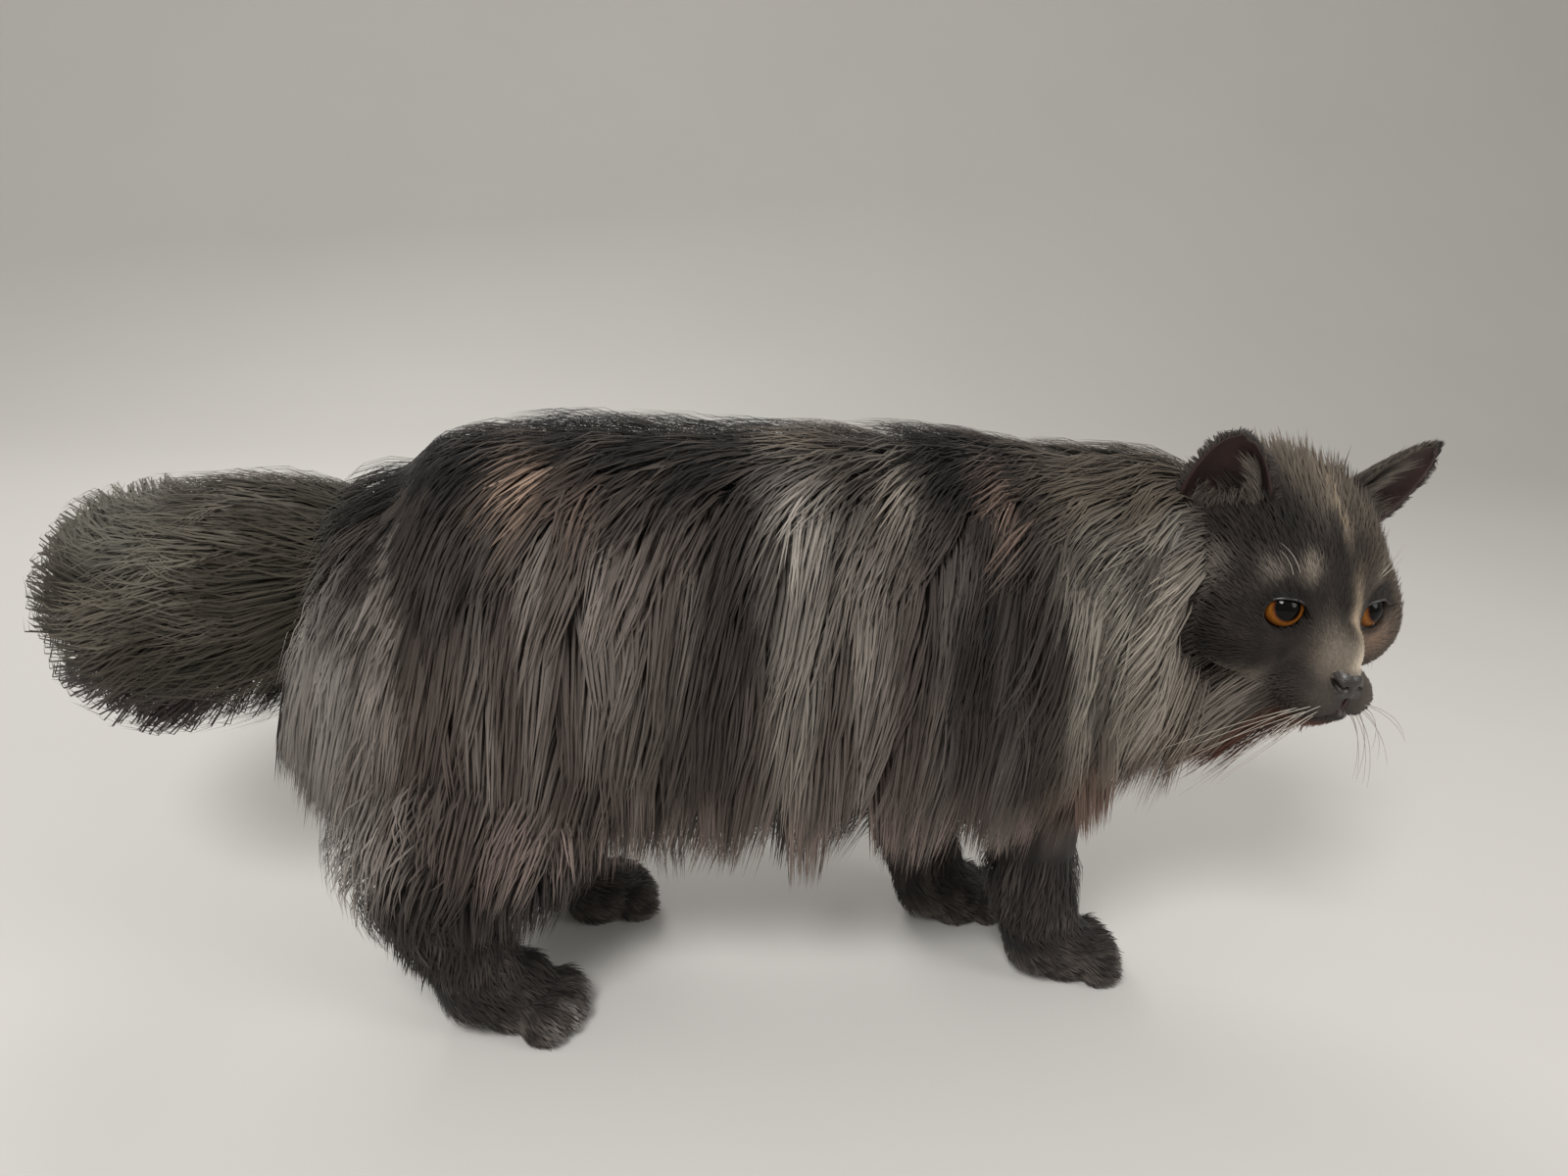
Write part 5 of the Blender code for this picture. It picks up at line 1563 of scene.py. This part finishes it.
# Dense and close, so that the legs look plush.
leg_fur = fur_material("Dense leg fur", 0.78, 0.08, 0.4, 0.22)
LEG_TOP, SOLE_TOP = 80, 1.2
legs_too = (above_floor < LEG_TOP) & (above_floor > SOLE_TOP)
density = np.where(legs_too, np.interp(above_floor, (10, 40, 80), (0.5, 0.3, 0.16)), 0.0)
roots, normals = rooted(density, 161)
toe_way = np.zeros_like(roots)
toe_edge = np.zeros(len(roots))
for side in SIDES:
    for legs, turns in ((FORELEGS, FORE_TOES_TURN), (HINDLEGS, HIND_TOES_TURN)):
        foot = np.array(legs[side][2:])
        mine = np.linalg.norm(roots[:, :2] - foot, axis=1) < 52
        toe_way[mine] = rotation("Z", turns[side]) @ (1, 0, 0)
        ahead = np.sum((roots - (*foot, 0)) * toe_way, axis=1)
        toe_edge = np.where(mine, smooth(ahead, 17, 32), toe_edge)
height = roots[:, 2]
low = smooth(height, 46, 26)[:, None]
flow = (1 - low) * np.array((-0.12, 0, -1.0)) + low * (toe_way + np.array((0, 0, -0.5)))
length = np.interp(height, (2, 14, 30, 80), (5.0, 7.0, 9.0, 18.0)) * (1 - 0.35 * toe_edge)
wide = np.interp(height, (2, 30, 80), (0.7, 0.9, 1.1))
lift = np.interp(height, (5, 80), (0.2, 0.3))
silver = toe_edge * smooth(soft_noise(roots, (5, 5, 7), 33), 0.3, 0.6) * smooth(height, 26, 14)
looks = (leg_fur, "leg_coat", SHORT_LOOK, mix(markings(roots), linear("#908a84"), 0.8 * silver))
short_coat("coat_legs", roots, normals, flow, length, lift, wide, 162, *looks)

# The eyes.
# Round, copper to amber, with the wide pupil of a dim room set a little high, its black also standing for the
# painted shadow of the upper lid, under a clear wet surface.
# Each eyeball is a smooth ball that bulges at its cornea, and a thin dark rim edges its lids.

IRIS_RADIUS = 11.0
# The iris from its middle to its edge: the pupil, wide enough to also paint the upper lid's shadow, the
# copper, and a dark outer ring.
IRIS_BANDS = (
    (0.0, "#040302"),
    (0.5, "#040302"),
    (0.55, "#54290f"),
    (0.68, "#935c22"),
    (0.84, "#7a4719"),
    (0.95, "#2a150a"),
    (1.0, "#0d0806"),
)


def eye_material():
    """The eye: wet and glossy, a fibrous copper iris with a dark outer ring round a black pupil, which also
    paints the upper lid's shadow.
    """
    made, tree, shader = new_material("Wet copper eye")
    shader.inputs["Roughness"].default_value = 0.5
    shader.inputs["Specular IOR Level"].default_value = 0.0
    shader.inputs["IOR"].default_value = 1.376
    shader.inputs["Coat Weight"].default_value = 0.5
    shader.inputs["Coat IOR"].default_value = 1.36
    shader.inputs["Coat Roughness"].default_value = 0.02
    gaze = add(tree, "ShaderNodeAttribute", {"attribute_name": "gaze"}).outputs["Vector"]
    apart = add(tree, "ShaderNodeSeparateXYZ", Vector=gaze)
    away = add(tree, "ShaderNodeVectorMath", {"operation": "MULTIPLY"}, i0=gaze, i1=(0, 1, 1))
    length = add(tree, "ShaderNodeVectorMath", {"operation": "LENGTH"}, i0=away.outputs[0])
    radius = length.outputs["Value"]
    turn = add(tree, "ShaderNodeMath", {"operation": "ARCTAN2"}, i0=apart.outputs[2], i1=apart.outputs[1])
    spokes = add(tree, "ShaderNodeCombineXYZ", X=turn.outputs[0], Y=radius)
    # Fibres stand about 0.25 mm apart round the pupil, drawn at twice that so that they show.
    fibres = add(tree, "ShaderNodeMapping", Vector=spokes.outputs[0], Scale=(9.0, 0.35, 1.0)).outputs[0]
    fibre = add(tree, "ShaderNodeTexNoise", Vector=fibres, Scale=2.0, Detail=3.0, Roughness=0.65)
    outward = add(tree, "ShaderNodeMath", {"operation": "DIVIDE"}, i0=radius, i1=IRIS_RADIUS)
    ramp = add(tree, "ShaderNodeValToRGB", Fac=outward.outputs[0])
    bands = ramp.color_ramp.elements
    while len(bands) < len(IRIS_BANDS):
        bands.new(0.5)
    for band, (at, colour) in zip(bands, IRIS_BANDS):
        band.position = at
        band.color = opaque(colour)
    tone = add(tree, "ShaderNodeMapRange", Value=fibre.outputs[0], From_Min=0.3, From_Max=0.7)
    tone.inputs["To Min"].default_value = 0.62
    tone.inputs["To Max"].default_value = 1.25
    scaling = {"operation": "SCALE"}
    shaded = add(tree, "ShaderNodeVectorMath", scaling, i0=ramp.outputs[0], Scale=tone.outputs[0])
    tree.links.new(shaded.outputs[0], shader.inputs["Base Color"])
    return made


copper = eye_material()
# Thin, dark and wet with tears.
rim_skin = bare_material("Eyelid skin", "#1d1614", "#0f0b0a", 0.35, 0.5, 0.6, 0.05)


def rings_round(line, out, third, radius, around):
    """Rings of points round a line, one at each of its points, in the plane of two directions."""
    turn = 2 * np.pi * np.arange(around)[None, :, None] / around
    return line[:, None] + radius * (out[:, None] * np.cos(turn) + third[:, None] * np.sin(turn))


def ring_tube(name, centre_line, radius, around):
    """A closed tube round a closed line."""
    count = len(centre_line)
    ahead = unit(np.roll(centre_line, -1, axis=0) - np.roll(centre_line, 1, axis=0))
    out = unit(centre_line - centre_line.mean(0))
    out = unit(out - ahead * np.sum(out * ahead, axis=1, keepdims=True))
    verts = rings_round(centre_line, out, np.cross(ahead, out), radius, around)
    faces = grid_faces(count, around)
    for j in range(around):
        a, b = (count - 1) * around + j, (count - 1) * around + (j + 1) % around
        faces.append((a, b, (j + 1) % around, j))
    return new_mesh(name, stand(verts.reshape(-1, 3)), faces)


CORNEA_BULGE = 0.75
LID_PLAY = 0.35
# The pupil's middle lies a little above the middle of the opening, so that its black also paints the upper
# lid's shadow.
PUPIL_RISE_FOR_LID_SHADOW = 3.0
RIM_RADIUS = 0.75


for name, s in SIDES.items():
    middle, axes = eye_middle(s), eye_axes(s)
    eyeball = ball(f"eyeball_{name}", (0, 0, 0), (1, 1, 1), np.eye(3), 72, 48)
    direction = unit(from_stand(values_of(eyeball.data.vertices, "co", 3)))
    off_axis = np.hypot(direction[:, 1], direction[:, 2])
    bulge = CORNEA_BULGE * smooth(off_axis, 0.8, 0.2) * (direction[:, 0] > 0)
    shape = direction * (EYE_RADIUS - LID_PLAY + bulge)[:, None]
    eyeball.data.vertices.foreach_set("co", stand(middle + shape @ axes.T).astype(np.float32).ravel())
    gaze = eyeball.data.attributes.new("gaze", "FLOAT_VECTOR", "POINT")
    looked = shape - (0, 0, PUPIL_RISE_FOR_LID_SHADOW)
    gaze.data.foreach_set("vector", looked.astype(np.float32).ravel())
    eyeball.data.shade_smooth()
    eyeball.data.materials.append(copper)
    eyeball.data.update()
    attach(eyeball, "root")
    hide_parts(f"eye_{name}")
    across, rise = lid_edge(s, 64)
    depth = np.sqrt(np.maximum((LID_RADIUS - 0.5) ** 2 - across**2 - rise**2, 1.0))
    line = middle + np.column_stack((depth, across, rise)) @ axes.T
    rim = ring_tube(f"eyelid_rim_{name}", line, RIM_RADIUS, 10)
    rim.data.shade_smooth()
    rim.data.materials.append(rim_skin)
    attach(rim, "root")

# The whiskers.
# Stiff, pale hairs, 40 to 64 mm long and 0.4 mm thick at the root, in four rows on each whisker pad.
# Two shorter ones stand over each eye.

# Stiff, smooth hair with a clear gloss along it.
whisker_hair, tree, shader = new_material("Whisker hair")
shader.inputs["Roughness"].default_value = 0.35
place = add(tree, "ShaderNodeTexCoord").outputs["Object"]
# Its tone changes every 17 mm or so along the hair.
shades = add(tree, "ShaderNodeTexNoise", Vector=place, Scale=60.0, Detail=1.0).outputs[0]
blend = {"data_type": "RGBA"}
tint = add(tree, "ShaderNodeMix", blend, i0=shades, i6=opaque("#bdb6aa"), i7=opaque("#8b8378"))
tree.links.new(tint.outputs[2], shader.inputs["Base Color"])


def whiskers(name, roots, ways, lengths, droop, seed):
    """Closed, tapered hairs that droop and sweep back, with their roots just under the skin."""
    chance = np.random.default_rng(seed)
    verts, faces = [], []
    sections, around = 9, 5
    sweep, root_radius, tip_radius = 0.22, 0.17, 0.04
    share = np.linspace(0, 1, sections)[:, None]
    radius = root_radius * (1 - share) ** 0.7 + tip_radius
    for root, way, length in zip(skin_on_rays(unit(np.array(roots, float))) * 0.985, ways, lengths):
        way = unit(np.array(way, float) + chance.normal(0, 0.07, 3))
        line = root + way * length * share
        line[:, 2] -= droop * length * share[:, 0] ** 2
        line[:, 0] -= sweep * length * share[:, 0] ** 2
        ahead = unit(np.gradient(line, axis=0))
        out = unit(np.cross(ahead, (0.3, 0.2, 1.0)))
        first = len(verts)
        verts += list(rings_round(line, out, np.cross(ahead, out), radius[:, None], around).reshape(-1, 3))
        faces += [tuple(first + v for v in f) for f in grid_faces(sections, around)]
        faces.append(tuple(first + j for j in range(around)))
        faces.append(tuple(first + (sections - 1) * around + j for j in range(around)))
    obj = new_mesh(name, stand(from_head(verts)), faces)
    obj.data.shade_smooth()
    obj.data.materials.append(whisker_hair)
    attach(obj, "root")


for name, s in SIDES.items():
    roots, ways, lengths = [], [], []
    for row, in_row in enumerate((2, 3, 3, 2)):
        for k in range(in_row):
            roots.append((50 - 3.2 * k, s * (9.0 + 2.6 * k), -24.5 - 2.9 * row))
            ways.append((0.1 - 0.2 * k, s * 1.0, -0.3 - 0.25 * row))
            lengths.append(40 + 10 * k + (4 if row in (1, 2) else 0))
    whiskers(f"whiskers_{name}", roots, ways, lengths, 0.35, 171)
    brows = [(30, s * 22, 22), (29, s * 25, 21)]
    whiskers(f"brow_whiskers_{name}", brows, [(0.1, s * 0.6, 1.0)] * 2, [26, 20], 0.3, 172)

# The studio.
# A plain pale floor, matt painted, with a sweep behind it: flat under the cat, then up to a wall.
# A large soft light stands to the camera's left, with a fill and a rim light.

# Matt paint with a faint mottle, which shows no mirror of the cat.
floor_paint, tree, shader = new_material("Matt painted floor")
shader.inputs["Roughness"].default_value = 0.8
place = add(tree, "ShaderNodeTexCoord").outputs["Object"]
# The mottle's patches are about 330 mm across.
shades = add(tree, "ShaderNodeTexNoise", Vector=place, Scale=3.0, Detail=4.0).outputs[0]
tint = add(tree, "ShaderNodeMix", blend, i0=shades, i6=opaque("#d6d3ce"), i7=opaque("#d0cdc8"))
tree.links.new(tint.outputs[2], shader.inputs["Base Color"])
# The floor's sizes are in metres.
REACH, WALL_DISTANCE, WALL_HEIGHT, CURVE = 12.0, 2.4, 4.0, 1.2
bend = np.radians(np.arange(0, 91, 6))
sweep = [(WALL_DISTANCE - CURVE + CURVE * np.sin(a), CURVE - CURVE * np.cos(a)) for a in bend]
profile = [(-REACH, 0.0)] + sweep + [(WALL_DISTANCE, WALL_HEIGHT)]
verts = [(x, y, z) for y, z in profile for x in (-REACH, REACH)]
faces = [(2 * k, 2 * k + 1, 2 * k + 3, 2 * k + 2) for k in range(len(profile) - 1)]
floor = new_mesh("floor", verts, faces)
floor.data.shade_smooth()
floor.data.materials.append(floor_paint)

world = bpy.data.worlds.new("studio")
bpy.context.scene.world = world
world.use_nodes = True
background = world.node_tree.nodes["Background"]
background.inputs["Color"].default_value = opaque("#e8e6e3")
background.inputs["Strength"].default_value = 0.55


def area_light(name, place, target, size, power):
    """A round soft light that faces its target. Places and size are in metres, and power in watts."""
    lamp = bpy.data.lights.new(name, "AREA")
    lamp.shape = "DISK"
    lamp.size = size
    lamp.energy = power
    obj = bpy.data.objects.new(name, lamp)
    obj.location = place
    obj.rotation_euler = (Vector(target) - Vector(place)).to_track_quat("-Z", "Y").to_euler()
    bpy.context.scene.collection.objects.link(obj)


area_light("key", (-0.6, -1.2, 1.5), (0, 0, 0.15), 0.6, 24)
area_light("fill", (1.3, -1.0, 0.9), (0.1, 0, 0.15), 0.8, 7)
area_light("rim", (-0.3, 1.2, 1.2), (0, 0, 0.2), 0.8, 8)

# The camera.
# It stands where the photograph was taken from, above the cat and to its right.
# Its place and directions were fitted to where the four paws stand on the floor.

VIEW_RIGHT = Vector((0.98252, -0.17486, 0.06387))
VIEW_UP = Vector((-0.00553, 0.31550, 0.94891))
VIEW_BACK = Vector((-0.18608, -0.93268, 0.30902))
VIEW_FROM = (2.36, -546.27, 382.60)
camera = bpy.data.objects.new("camera", bpy.data.cameras.new("camera"))
camera.data.sensor_width = 36
camera.data.lens = 28.125
turn = Matrix((VIEW_RIGHT, VIEW_UP, VIEW_BACK)).transposed().to_4x4()
camera.matrix_world = Matrix.Translation(Vector(stand(VIEW_FROM))) @ turn
bpy.context.scene.collection.objects.link(camera)
bpy.context.scene.camera = camera
bpy.context.scene.view_settings.view_transform = "Standard"

print("coat triangles", coat_triangles)
